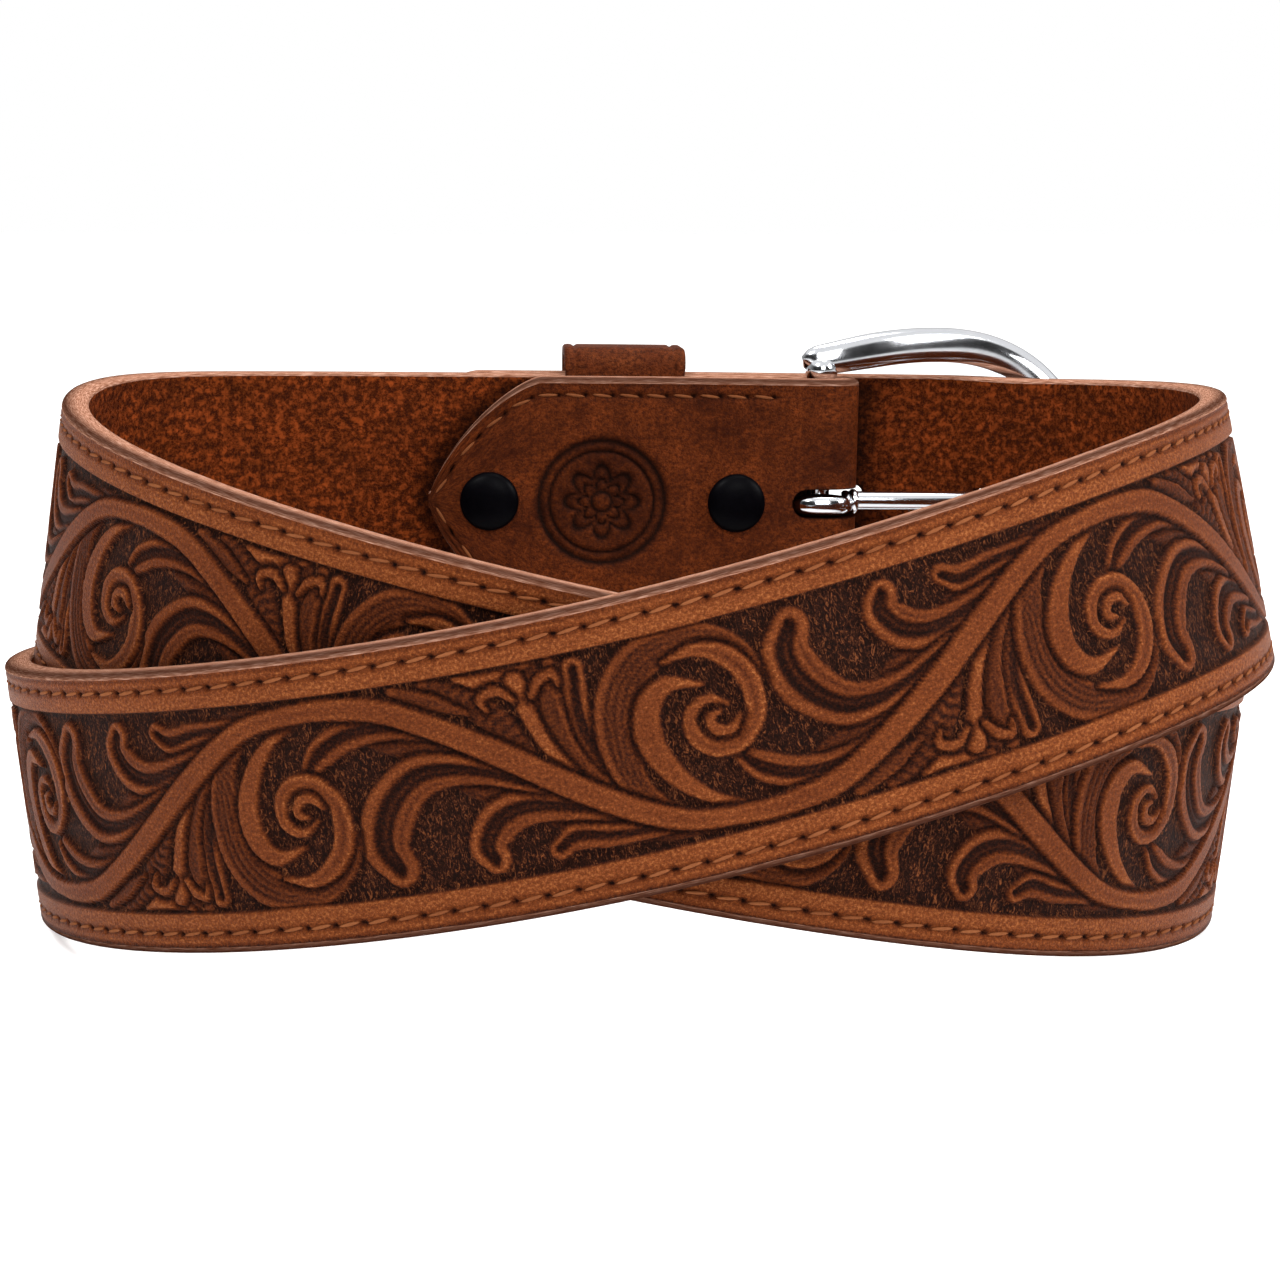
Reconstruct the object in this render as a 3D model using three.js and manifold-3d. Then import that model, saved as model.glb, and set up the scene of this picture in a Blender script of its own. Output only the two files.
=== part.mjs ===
// Western tooled belt in millimetres, +Z up: fastened, wound twice round and standing on its edge.
// The strap is one long leather wall. It starts at the snap tab, folds round the buckle bar,
// makes two turns and ends in the billet, which runs out through the buckle and the keeper loop.
import * as THREE from 'three';
import { mergeVertices } from 'three/addons/utils/BufferGeometryUtils.js';
import Module from 'manifold-3d';

const wasm = await Module();
wasm.setup();

// Strap
const STRAP_WIDTH = 38.1;
const STRAP_THICKNESS = 3.8;
const BORDER = 5.6;
const FIELD_SINK = 0.35;
const GRAIN_BEVEL = 0.9;
const FLESH_BEVEL = 0.5;
const STATION_STEP = 6.0;

// Lie of the two turns
const OVAL_HALF_WIDTH = 82.3;
const OVAL_HALF_DEPTH = 51.2;
const OVAL_BACK_BULGE = 21.8;
const CORNER_WIDE = 0.027;
const CORNER_DEEP = 0.078;
const OVAL_EGG = 0.109;
const OVAL_SKEW = 0.0123;
const LAYER_GAP = 1.28;
const STACK_GAP = 1.0;

// Tab and fold
const TAB_LENGTH = 59.5;
const TAB_POINT_LENGTH = 17.0;
const FOLD_GAP = 4.1;
const SLOT_HEIGHT = 4.4;
const SLOT_LENGTH = 6.4;

// Billet
const BILLET_LENGTH = 76.0;
const BILLET_POINT_LENGTH = 24.0;
const HOLE_PITCH = 25.4;
const HOLE_HEIGHT = 4.0;
const HOLE_LENGTH = 8.6;
const HOLES_EACH_WAY = 2;
const HOLE_AT_REACH = 0.715;
const BILLET_DIP = 5.0;
const DIP_RUN_IN = 20.0;
const DIP_RUN_OUT = 38.0;

// Buckle
const BAR_DIAMETER = 3.5;
const FRAME_REACH = 42.6;
const FRAME_HEIGHT = 55.7;
const FRAME_BAR_HEIGHT = 50.0;
const FRAME_SHOULDER = 18.0;
const FRAME_SQUARENESS = 2.5;
const RIM_WIDTH = 5.4;
const RIM_DEPTH = 3.2;
const BEAD_DIAMETER = 5.0;
const PRONG_DIAMETER = 3.0;
const PRONG_HUB_DIAMETER = 10.0;
const PRONG_HUB_HEIGHT = 3.6;

// Keeper loop and snaps
const KEEPER_WIDTH = 18.3;
const KEEPER_THICKNESS = 1.8;
const KEEPER_PROUD = 4.2;
const KEEPER_FROM_BAR = 30.0;
const KEEPER_CORNER = 3.0;
const SNAP_CAP_DIAMETER = 9.0;
const SNAP_CAP_RISE = 1.6;
const SNAP_POST_DIAMETER = 3.2;
const SNAP_HEAD_DIAMETER = 7.0;
const SNAP_HEAD_THICKNESS = 0.7;
const SNAP_HEAD_SUNK = 0.6;
const SNAPS_FROM_BAR = { snap_front: 13.3, snap_rear: 50.3 };

const CLEARANCE = 0.3;
const SMALL = 1e-4;

// The winding, a row for each eighth of a turn over both turns, as smoothed control values.
// turn 0 is the inner strand at the front, turn 1 the outer strand over it, -0.5 the buckle.
// lift is a share of the rise from the lower turn to the upper one, lean the strap's tilt to
// the left in degrees, and layer the number of strap layers that it lies outside the oval.
const WINDING = [
  { turn: -0.5, lift: 1.0, lean: -1.0, layer: 0 },
  { turn: -0.375, lift: 1.0, lean: -5.0, layer: 0 },
  { turn: -0.25, lift: 1.035, lean: -9.5, layer: 0 },
  { turn: -0.125, lift: 0.88, lean: -5.0, layer: 0 },
  { turn: 0, lift: 0.44, lean: -7.5, layer: 0 },
  { turn: 0.125, lift: 0.13, lean: -6.5, layer: 0 },
  { turn: 0.25, lift: 0, lean: -7.5, layer: 1.2 },
  { turn: 0.375, lift: 0, lean: 0, layer: -1.3 },
  { turn: 0.5, lift: 0, lean: 0, layer: -2.5 },
  { turn: 0.625, lift: 0, lean: 0, layer: -1.3 },
  { turn: 0.75, lift: 0, lean: 6.0, layer: 1.0 },
  { turn: 0.875, lift: 0.12, lean: 8.5, layer: 1 },
  { turn: 1, lift: 0.44, lean: 7.5, layer: 1 },
  { turn: 1.125, lift: 1.07, lean: 24.0, layer: 1 },
  { turn: 1.25, lift: 1.0, lean: 5.5, layer: 1 },
  { turn: 1.375, lift: 0.95, lean: 9.0, layer: 1 },
];
const BAR_TURN = -0.5525;

const TURN_STEP = WINDING[1].turn - WINDING[0].turn;
const PERIOD = WINDING.length * TURN_STEP;
const LAYER_PITCH = STRAP_THICKNESS + LAYER_GAP;
const RISE = STRAP_WIDTH + STACK_GAP;
const KEEPER_GAP = KEEPER_THICKNESS + 2 * CLEARANCE;
const FOLD_RADIUS = (STRAP_THICKNESS + FOLD_GAP) / 2;
const HALF_THICKNESS = STRAP_THICKNESS / 2;

// Value of one winding column at a turn. The table closes on itself after two turns,
// one layer further out.
function winding(column, turn) {
  const place = (turn - WINDING[0].turn) / TURN_STEP;
  const row = Math.floor(place);
  const f = place - row;
  const control = (step) => {
    const wraps = Math.floor((row + step) / WINDING.length);
    const value = WINDING[row + step - wraps * WINDING.length][column];
    return column === 'layer' ? value + wraps : value;
  };
  const weights = [(1 - f) ** 3, 3 * f ** 3 - 6 * f ** 2 + 4, -3 * f ** 3 + 3 * f ** 2 + 3 * f + 1, f ** 3];
  return weights.reduce((sum, weight, k) => sum + (weight / 6) * control(k - 1), 0);
}

function ovalPoint(turn) {
  const angle = 2 * Math.PI * turn;
  const x = (OVAL_HALF_WIDTH * (Math.sin(angle) + CORNER_WIDE * Math.sin(3 * angle))) / (1 - CORNER_WIDE);
  const y = (-OVAL_HALF_DEPTH * (Math.cos(angle) - CORNER_DEEP * Math.cos(3 * angle))) / (1 - CORNER_DEEP);
  return new THREE.Vector2(
    x + OVAL_SKEW * OVAL_HALF_WIDTH * Math.sin(2 * angle),
    y * (1 + OVAL_EGG * Math.sin(angle)) + (OVAL_BACK_BULGE * (1 - Math.cos(2 * angle))) / 2,
  );
}

// Middle of the strap at a turn, moved outward from its own layer by a distance
function centreAt(turn, outward = 0) {
  const here = ovalPoint(turn);
  const along = ovalPoint(turn + SMALL).sub(ovalPoint(turn - SMALL)).normalize();
  const offset = winding('layer', turn) * LAYER_PITCH + outward;
  const lean = THREE.MathUtils.degToRad(winding('lean', turn));
  const z = (STRAP_WIDTH / 2) * Math.cos(lean) + RISE * winding('lift', turn);
  return new THREE.Vector3(here.x + along.y * offset, here.y - along.x * offset, z);
}

// Place, run, width and outward directions of the strap's surface at a turn
function frameAt(turn, outward = () => 0) {
  const p = centreAt(turn, outward(turn));
  const run = centreAt(turn + SMALL, outward(turn + SMALL)).sub(centreAt(turn - SMALL, outward(turn - SMALL)));
  run.normalize();
  const lean = THREE.MathUtils.degToRad(winding('lean', turn));
  const upright = new THREE.Vector3(-Math.sin(lean), 0, Math.cos(lean));
  const across = upright.addScaledVector(run, -upright.dot(run)).normalize();
  return { p, run, across, out: run.clone().cross(across) };
}

// Turn reached after a distance along the strap, backwards where the distance is negative
function turnAfter(startTurn, distance) {
  const step = Math.sign(distance) * SMALL * 10;
  let turn = startTurn;
  let left = Math.abs(distance);
  while (left > 0) {
    const stride = centreAt(turn).distanceTo(centreAt(turn + step));
    if (stride > left) return turn + (step * left) / stride;
    left -= stride;
    turn += step;
  }
  return turn;
}

const nearBar = (distance) => turnAfter(BAR_TURN, distance);
const BILLET_AT_BAR = BAR_TURN + PERIOD;
const HOLE_REACH = FRAME_REACH * HOLE_AT_REACH;
const DIP_TURN = turnAfter(BILLET_AT_BAR, -(FRAME_REACH - RIM_WIDTH / 2));
const DIP_START_TURN = turnAfter(DIP_TURN, -DIP_RUN_OUT);
const DIP_END_TURN = turnAfter(DIP_TURN, DIP_RUN_IN);

// The billet swings in under the far end of the buckle frame
function billetDip(turn) {
  const run = turn < DIP_TURN ? DIP_TURN - DIP_START_TURN : DIP_END_TURN - DIP_TURN;
  const share = Math.min(1, Math.abs(turn - DIP_TURN) / run);
  return -BILLET_DIP * Math.cos((share * Math.PI) / 2) ** 2;
}

// Room between the tab and the strap behind it, wide at the fold and narrow at the keeper
function tabGap(distance) {
  const share = THREE.MathUtils.smoothstep(distance, 0, KEEPER_FROM_BAR - KEEPER_WIDTH / 2);
  return THREE.MathUtils.lerp(FOLD_GAP, KEEPER_GAP, share);
}

function tabFrame(distance) {
  const inward = STRAP_THICKNESS + tabGap(distance);
  const frame = frameAt(nearBar(distance));
  return {
    p: frame.p.clone().addScaledVector(frame.out, -inward),
    run: frame.run.clone().negate(),
    across: frame.across,
    out: frame.out.clone().negate(),
  };
}

// Half width of a rounded point, at a distance from its tip
function pointHalfWidth(distance, pointLength) {
  const share = THREE.MathUtils.clamp(1 - distance / pointLength, 0, 1);
  const roundness = 1.4;
  return (STRAP_WIDTH / 2) * Math.max(0.06, (1 - share ** roundness) ** (1 / roundness));
}

// Distances that crowd towards the tip of a point
function pointDistances(pointLength, steps) {
  return Array.from({ length: steps }, (_, i) => pointLength * (i / steps) ** 2);
}

// One closed section of the strap, anticlockwise about its run: [across, out] pairs
function strapSection(halfWidth) {
  const scale = halfWidth / (STRAP_WIDTH / 2);
  const h = HALF_THICKNESS;
  const grain = Math.min(GRAIN_BEVEL, halfWidth / 3);
  const flesh = Math.min(FLESH_BEVEL, halfWidth / 3);
  const border = grain + (BORDER - GRAIN_BEVEL) * scale;
  const sunk = h - FIELD_SINK * Math.max(scale, 0.4);
  const side = [
    [halfWidth - flesh, -h],
    [halfWidth, -h + FLESH_BEVEL],
    [halfWidth, h - GRAIN_BEVEL],
    [halfWidth - grain, h],
    [halfWidth - border, h],
    [halfWidth - border - FIELD_SINK * scale, sunk],
  ];
  return [...side, ...side.map(([across, out]) => [-across, out]).reverse()];
}

// Closed solid through a row of rings of equal length, with flat ends
function loft(rings) {
  const count = rings[0].length;
  const positions = rings.flat().flatMap((point) => [point.x, point.y, point.z]);
  const index = [];
  for (let r = 0; r + 1 < rings.length; r += 1) {
    for (let k = 0; k < count; k += 1) {
      const a = r * count + k;
      const b = r * count + ((k + 1) % count);
      index.push(a, b, b + count, a, b + count, a + count);
    }
  }
  const flat = rings[0].map((point) => new THREE.Vector2());
  const cap = (ring, first, flip) => {
    const origin = ring[0];
    const e1 = ring[1].clone().sub(origin).normalize();
    const normal = new THREE.Vector3();
    ring.forEach((point, k) => normal.add(point.clone().sub(origin).cross(ring[(k + 1) % count].clone().sub(origin))));
    const e2 = normal.normalize().cross(e1);
    ring.forEach((point, k) => {
      const d = point.clone().sub(origin);
      flat[k].set(d.dot(e1), d.dot(e2));
    });
    for (const [a, b, c] of THREE.ShapeUtils.triangulateShape(flat, [])) {
      index.push(first + a, first + (flip ? c : b), first + (flip ? b : c));
    }
  };
  cap(rings[0], 0, true);
  cap(rings[rings.length - 1], (rings.length - 1) * count, false);
  const geometry = new THREE.BufferGeometry();
  geometry.setAttribute('position', new THREE.Float32BufferAttribute(positions, 3));
  geometry.setIndex(index);
  return geometry;
}

function ringAt(frame, section) {
  return section.map(([across, out]) =>
    frame.p.clone().addScaledVector(frame.across, across).addScaledVector(frame.out, out));
}

// Closed solid turned outwards, ready for cutting and joining
function solid(geometry) {
  const bare = geometry.clone();
  bare.deleteAttribute('normal');
  bare.deleteAttribute('uv');
  const merged = mergeVertices(bare, SMALL);
  const vertProperties = new Float32Array(merged.attributes.position.array);
  const triVerts = new Uint32Array(merged.index.array);
  return new wasm.Manifold(new wasm.Mesh({ numProp: 3, vertProperties, triVerts }));
}

function geometryOf(manifold) {
  const { vertProperties, triVerts } = manifold.getMesh();
  const geometry = new THREE.BufferGeometry();
  geometry.setAttribute('position', new THREE.Float32BufferAttribute(vertProperties, 3));
  geometry.setIndex(new THREE.Uint32BufferAttribute(triVerts, 1));
  geometry.computeVertexNormals();
  return geometry;
}

// Basis of a frame with its own x along the run, y across and z outward
function basisOf(frame) {
  const basis = new THREE.Matrix4().makeBasis(frame.run, frame.across, frame.out);
  return basis.setPosition(frame.p);
}

// Long hole or slot with round ends through the thickness, from one depth to another
function slotCutter(frame, length, height, from, to) {
  const r = height / 2;
  const half = Math.max(0, length / 2 - r);
  const outline = new THREE.Shape();
  outline.absarc(half, 0, r, -Math.PI / 2, Math.PI / 2, false);
  outline.absarc(-half, 0, r, Math.PI / 2, (3 * Math.PI) / 2, false);
  const geometry = new THREE.ExtrudeGeometry(outline, { depth: to - from, bevelEnabled: false, curveSegments: 6 });
  geometry.translate(0, 0, from);
  return solid(geometry.applyMatrix4(basisOf(frame)));
}

function turned(frame, profile, segments) {
  const points = profile.map(([radius, height]) => new THREE.Vector2(radius, height));
  const geometry = new THREE.LatheGeometry(points, segments);
  geometry.rotateX(Math.PI / 2);
  return solid(geometry.applyMatrix4(basisOf(frame)));
}

// Stations from the tab's point, round the fold, twice round and to the billet's tip
function strapStations() {
  const stations = [];
  const add = (frame, halfWidth = STRAP_WIDTH / 2) => stations.push({ frame, halfWidth });
  for (const distance of pointDistances(TAB_POINT_LENGTH, 7)) {
    add(tabFrame(TAB_LENGTH - distance), pointHalfWidth(distance, TAB_POINT_LENGTH));
  }
  const tabSteps = Math.round((TAB_LENGTH - TAB_POINT_LENGTH) / STATION_STEP);
  for (let i = 0; i < tabSteps; i += 1) {
    add(tabFrame((TAB_LENGTH - TAB_POINT_LENGTH) * (1 - i / tabSteps)));
  }
  const bar = frameAt(BAR_TURN);
  const foldSteps = 10;
  for (let i = 0; i < foldSteps; i += 1) {
    const angle = (Math.PI * i) / foldSteps;
    const out = bar.out.clone().multiplyScalar(-Math.cos(angle)).addScaledVector(bar.run, -Math.sin(angle));
    const p = bar.p.clone().addScaledVector(bar.out, -FOLD_RADIUS).addScaledVector(out, FOLD_RADIUS);
    add({ p, across: bar.across, out });
  }
  const tipTurn = turnAfter(BILLET_AT_BAR, BILLET_LENGTH);
  const pointTurn = turnAfter(tipTurn, -BILLET_POINT_LENGTH);
  let turn = BAR_TURN;
  while (turn < pointTurn - TURN_STEP / 20) {
    add(frameAt(turn, billetDip));
    turn = turnAfter(turn, STATION_STEP);
  }
  for (const distance of [BILLET_POINT_LENGTH, ...pointDistances(BILLET_POINT_LENGTH, 7).reverse()]) {
    add(frameAt(turnAfter(tipTurn, -distance), billetDip), pointHalfWidth(distance, BILLET_POINT_LENGTH));
  }
  return stations;
}

const snapFrames = Object.entries(SNAPS_FROM_BAR).map(([name, distance]) => {
  const back = frameAt(nearBar(distance));
  return { name, distance, back, inward: STRAP_THICKNESS + tabGap(distance) };
});

function makeStrap() {
  const stations = strapStations();
  let strap = solid(loft(stations.map(({ frame, halfWidth }) => ringAt(frame, strapSection(halfWidth)))));
  const bar = frameAt(BAR_TURN);
  const slotFrame = { ...bar, p: bar.p.clone() };
  const slotDepth = 2 * FOLD_RADIUS + STRAP_THICKNESS;
  strap = strap.subtract(slotCutter(slotFrame, 2 * (SLOT_LENGTH + FOLD_RADIUS), SLOT_HEIGHT,
    -slotDepth, STRAP_THICKNESS));
  for (let i = -HOLES_EACH_WAY; i <= HOLES_EACH_WAY; i += 1) {
    const hole = frameAt(turnAfter(BILLET_AT_BAR, i * HOLE_PITCH - HOLE_REACH), billetDip);
    strap = strap.subtract(slotCutter(hole, HOLE_LENGTH, HOLE_HEIGHT, -HALF_THICKNESS - CLEARANCE,
      HALF_THICKNESS + CLEARANCE));
  }
  const postHole = SNAP_POST_DIAMETER + 2 * CLEARANCE;
  const sink = SNAP_HEAD_DIAMETER + 2 * CLEARANCE;
  for (const { back, inward } of snapFrames) {
    strap = strap.subtract(slotCutter(back, postHole, postHole, -inward - STRAP_THICKNESS, STRAP_THICKNESS * 0.7));
    strap = strap.subtract(slotCutter(back, sink, sink, HALF_THICKNESS - SNAP_HEAD_SUNK - CLEARANCE,
      STRAP_THICKNESS * 0.7));
  }
  return geometryOf(strap);
}

// Distance outside the strap's own layer at which the buckle lies, from the bar to its far end
function frameOutward(reach) {
  const underRim = turnAfter(BILLET_AT_BAR, -(FRAME_REACH - 1.7 * RIM_WIDTH));
  const farEnd = LAYER_PITCH + billetDip(underRim) + HALF_THICKNESS + 2 * CLEARANCE + RIM_DEPTH / 2;
  return THREE.MathUtils.lerp(-FOLD_RADIUS, farEnd, THREE.MathUtils.smoothstep(reach, 0, FRAME_REACH - RIM_WIDTH));
}

function bucklePoint(reach, height, outward) {
  const frame = frameAt(turnAfter(BAR_TURN, -reach));
  return frame.p.clone().addScaledVector(frame.across, height).addScaledVector(frame.out, outward);
}

// Middle line of the buckle's rim, from the top end of the bar round to its lower end
function rimLine() {
  const halfHeight = (FRAME_HEIGHT - RIM_WIDTH) / 2;
  const barHeight = (FRAME_BAR_HEIGHT - RIM_WIDTH) / 2;
  const reach = FRAME_REACH - RIM_WIDTH / 2 - FRAME_SHOULDER;
  const arc = (angle) => [
    FRAME_SHOULDER + reach * Math.cos(angle) ** (2 / FRAME_SQUARENESS),
    halfHeight * Math.sin(angle) ** (2 / FRAME_SQUARENESS),
  ];
  const shoulderSteps = 3;
  const arcSteps = 9;
  const upper = [];
  for (let i = 0; i < shoulderSteps; i += 1) {
    const share = i / shoulderSteps;
    upper.push([FRAME_SHOULDER * share, THREE.MathUtils.lerp(barHeight, halfHeight, Math.sin((share * Math.PI) / 2))]);
  }
  for (let i = 0; i < arcSteps; i += 1) upper.push(arc((Math.PI / 2) * (1 - i / arcSteps)));
  const lower = upper.map(([reachAt, height]) => [reachAt, -height]).reverse();
  return [...upper, [FRAME_SHOULDER + reach, 0], ...lower];
}

function ellipseSection(width, depth, sides) {
  return Array.from({ length: sides }, (_, k) => {
    const angle = (2 * Math.PI * k) / sides;
    return [(width / 2) * Math.cos(angle), (depth / 2) * Math.sin(angle)];
  });
}

// Frames along a line of points, with the given outward direction kept square to it
function framesAlong(points, outward) {
  return points.map((p, i) => {
    const before = points[Math.max(0, i - 1)];
    const after = points[Math.min(points.length - 1, i + 1)];
    const run = after.clone().sub(before).normalize();
    const out = outward[i].clone().addScaledVector(run, -outward[i].dot(run)).normalize();
    return { p, run, across: out.clone().cross(run), out };
  });
}

function makeBuckleFrame() {
  const line = rimLine();
  const points = line.map(([reach, height]) => bucklePoint(reach, height, frameOutward(reach)));
  const outward = line.map(([reach]) => frameAt(turnAfter(BAR_TURN, -reach)).out);
  const section = ellipseSection(RIM_WIDTH, RIM_DEPTH, 10);
  let buckle = solid(loft(framesAlong(points, outward).map((frame) => ringAt(frame, section))));
  const bar = frameAt(BAR_TURN);
  const centre = bar.p.clone().addScaledVector(bar.out, -FOLD_RADIUS);
  const half = (FRAME_BAR_HEIGHT - RIM_WIDTH) / 2;
  const r = BAR_DIAMETER / 2;
  const bead = BEAD_DIAMETER / 2;
  const barFrame = { p: centre, run: bar.run, across: bar.out.clone().negate(), out: bar.across };
  buckle = buckle.add(turned(barFrame, [[0, -half], [r, -half], [r, half], [0, half]], 14));
  for (const side of [-1, 1]) {
    const ball = new THREE.SphereGeometry(bead, 14, 8);
    ball.translate(centre.x + bar.across.x * side * half, centre.y + bar.across.y * side * half,
      centre.z + bar.across.z * side * half);
    buckle = buckle.add(solid(ball));
  }
  return geometryOf(buckle);
}

// Middle line of the prong: a row for each place, as a share of the frame's reach, and the
// depth it lies at, from the bar's own depth (0) to just over the frame's far end (1)
const PRONG_LINE = [
  { reach: 0.08, depth: 0 },
  { reach: 0.3, depth: 0.02 },
  { reach: 0.48, depth: 0.08 },
  { reach: 0.6, depth: 0.21 },
  { reach: 0.7, depth: 0.5 },
  { reach: 0.79, depth: 0.83 },
  { reach: 0.87, depth: 1 },
  { reach: 0.96, depth: 1 },
];

function makeProng() {
  const overRim = frameOutward(FRAME_REACH) + RIM_DEPTH / 2 + CLEARANCE + PRONG_DIAMETER / 2;
  const shape = (row) => {
    const reach = row.reach * FRAME_REACH;
    return bucklePoint(reach, 0, THREE.MathUtils.lerp(-FOLD_RADIUS, overRim, row.depth));
  };
  const curve = new THREE.CatmullRomCurve3(PRONG_LINE.map(shape));
  const steps = 18;
  const points = curve.getPoints(steps);
  const outward = points.map((p, i) => frameAt(turnAfter(BAR_TURN, (-i / steps) * FRAME_REACH)).out);
  const rings = framesAlong(points, outward).map((frame, i) => {
    const tip = Math.min(1, 0.5 + (steps - i) * 0.25);
    return ringAt(frame, ellipseSection(PRONG_DIAMETER * tip, PRONG_DIAMETER * tip, 10));
  });
  const bar = frameAt(BAR_TURN);
  const centre = bar.p.clone().addScaledVector(bar.out, -FOLD_RADIUS);
  const hubFrame = { p: centre, run: bar.run, across: bar.out.clone().negate(), out: bar.across };
  const half = PRONG_HUB_HEIGHT / 2;
  const outer = PRONG_HUB_DIAMETER / 2;
  const inner = BAR_DIAMETER / 2 + CLEARANCE;
  const hub = turned(hubFrame, [[0, -half], [outer - 0.6, -half], [outer, -half + 0.6], [outer, half - 0.6],
    [outer - 0.6, half], [0, half]], 20);
  const bore = turned(hubFrame, [[0, -half - 1], [inner, -half - 1], [inner, half + 1], [0, half + 1]], 16);
  return geometryOf(solid(loft(rings)).add(hub).subtract(bore));
}

function roundedRectangle(halfAcross, outLow, outHigh, corner) {
  const steps = 3;
  const points = [];
  const corners = [[1, outLow, -90], [1, outHigh, 0], [-1, outHigh, 90], [-1, outLow, 180]];
  for (const [side, out, start] of corners) {
    const inward = out === outLow ? 1 : -1;
    for (let i = 0; i <= steps; i += 1) {
      const angle = THREE.MathUtils.degToRad(start + (90 * i) / steps);
      points.push([side * (halfAcross - corner) + corner * Math.cos(angle), out + inward * corner
        + corner * Math.sin(angle)]);
    }
  }
  return points;
}

function makeKeeper() {
  const halfOuter = STRAP_WIDTH / 2 + KEEPER_PROUD;
  const low = -HALF_THICKNESS - CLEARANCE;
  const high = LAYER_PITCH + HALF_THICKNESS + CLEARANCE;
  const wall = KEEPER_THICKNESS;
  const outer = roundedRectangle(halfOuter, low - wall, high + wall, KEEPER_CORNER);
  const inner = roundedRectangle(halfOuter - wall, low, high, KEEPER_CORNER - wall);
  const steps = 4;
  const frames = Array.from({ length: steps + 1 }, (_, i) =>
    frameAt(nearBar(KEEPER_FROM_BAR + KEEPER_WIDTH * (i / steps - 0.5))));
  const longer = [-1, 0.25, 0.5, 0.75, 2];
  const cutFrames = longer.map((share) => frameAt(nearBar(KEEPER_FROM_BAR + KEEPER_WIDTH * (share - 0.5))));
  const body = solid(loft(frames.map((frame) => ringAt(frame, outer))));
  return geometryOf(body.subtract(solid(loft(cutFrames.map((frame) => ringAt(frame, inner))))));
}

function makeSnap({ back, inward }) {
  const cap = SNAP_CAP_DIAMETER / 2;
  const post = SNAP_POST_DIAMETER / 2;
  const head = SNAP_HEAD_DIAMETER / 2;
  const tabFace = -inward - HALF_THICKNESS - CLEARANCE;
  const headFace = HALF_THICKNESS - SNAP_HEAD_SUNK;
  const profile = [
    [0, tabFace - SNAP_CAP_RISE],
    [cap * 0.45, tabFace - SNAP_CAP_RISE * 0.9],
    [cap * 0.8, tabFace - SNAP_CAP_RISE * 0.58],
    [cap, tabFace - SNAP_CAP_RISE * 0.2],
    [cap, tabFace],
    [post, tabFace],
    [post, headFace],
    [head, headFace],
    [head, headFace + SNAP_HEAD_THICKNESS],
    [0, headFace + SNAP_HEAD_THICKNESS],
  ];
  return geometryOf(turned(back, profile, 16));
}

const leather = (color) => new THREE.MeshStandardMaterial({ color, roughness: 0.7, metalness: 0 });
const nickel = new THREE.MeshStandardMaterial({ color: 0xd4d6d8, roughness: 0.15, metalness: 1 });
const black = new THREE.MeshStandardMaterial({ color: 0x16161a, roughness: 0.35, metalness: 0.4 });

const belt = new THREE.Group();
function addPiece(name, geometry, material) {
  const mesh = new THREE.Mesh(geometry, material);
  mesh.name = name;
  belt.add(mesh);
}

addPiece('strap', makeStrap(), leather(0x8a4e28));
addPiece('buckle_frame', makeBuckleFrame(), nickel);
addPiece('buckle_prong', makeProng(), nickel);
addPiece('keeper_loop', makeKeeper(), leather(0x7a4220));
for (const snap of snapFrames) addPiece(snap.name, makeSnap(snap), black);

// The origin is the middle of the belt's footprint, on the surface that it stands on
const box = new THREE.Box3().setFromObject(belt);
const middle = box.getCenter(new THREE.Vector3());
belt.position.set(-middle.x, -middle.y, -box.min.z);

export default belt;
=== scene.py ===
import math
from collections import namedtuple

import bmesh
import bpy
import numpy as np
from mathutils import Matrix, Vector


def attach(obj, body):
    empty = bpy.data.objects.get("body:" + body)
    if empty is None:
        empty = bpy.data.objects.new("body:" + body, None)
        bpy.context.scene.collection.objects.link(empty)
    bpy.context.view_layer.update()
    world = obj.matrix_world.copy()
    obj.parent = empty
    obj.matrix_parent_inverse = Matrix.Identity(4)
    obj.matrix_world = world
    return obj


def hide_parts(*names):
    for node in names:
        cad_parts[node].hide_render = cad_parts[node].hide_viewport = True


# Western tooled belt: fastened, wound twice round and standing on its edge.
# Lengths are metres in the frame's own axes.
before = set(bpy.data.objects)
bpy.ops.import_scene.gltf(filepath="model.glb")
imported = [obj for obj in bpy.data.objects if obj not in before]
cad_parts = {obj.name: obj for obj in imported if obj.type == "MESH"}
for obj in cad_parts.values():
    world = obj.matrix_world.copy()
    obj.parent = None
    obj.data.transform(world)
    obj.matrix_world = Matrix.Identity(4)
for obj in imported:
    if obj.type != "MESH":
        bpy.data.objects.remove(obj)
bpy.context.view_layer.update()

MM = 0.001

# Strap
STRAP_WIDTH = 38.1 * MM
STRAP_THICKNESS = 3.8 * MM
HALF_WIDTH = STRAP_WIDTH / 2
HALF_THICKNESS = STRAP_THICKNESS / 2
GRAIN_BEVEL = 0.9 * MM
FLESH_BEVEL = 0.5 * MM
CLEARANCE = 0.3 * MM

# Lie of the two turns
OVAL_HALF_WIDTH = 82.3 * MM
OVAL_HALF_DEPTH = 51.2 * MM
OVAL_BACK_BULGE = 21.8 * MM
CORNER_WIDE = 0.027
CORNER_DEEP = 0.078
OVAL_EGG = 0.109
OVAL_SKEW = 0.0123
LAYER_PITCH = STRAP_THICKNESS + 1.28 * MM
RISE = STRAP_WIDTH + 1.0 * MM
ORIGIN = np.array([-1.281, -3.416, 0.011]) * MM

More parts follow.
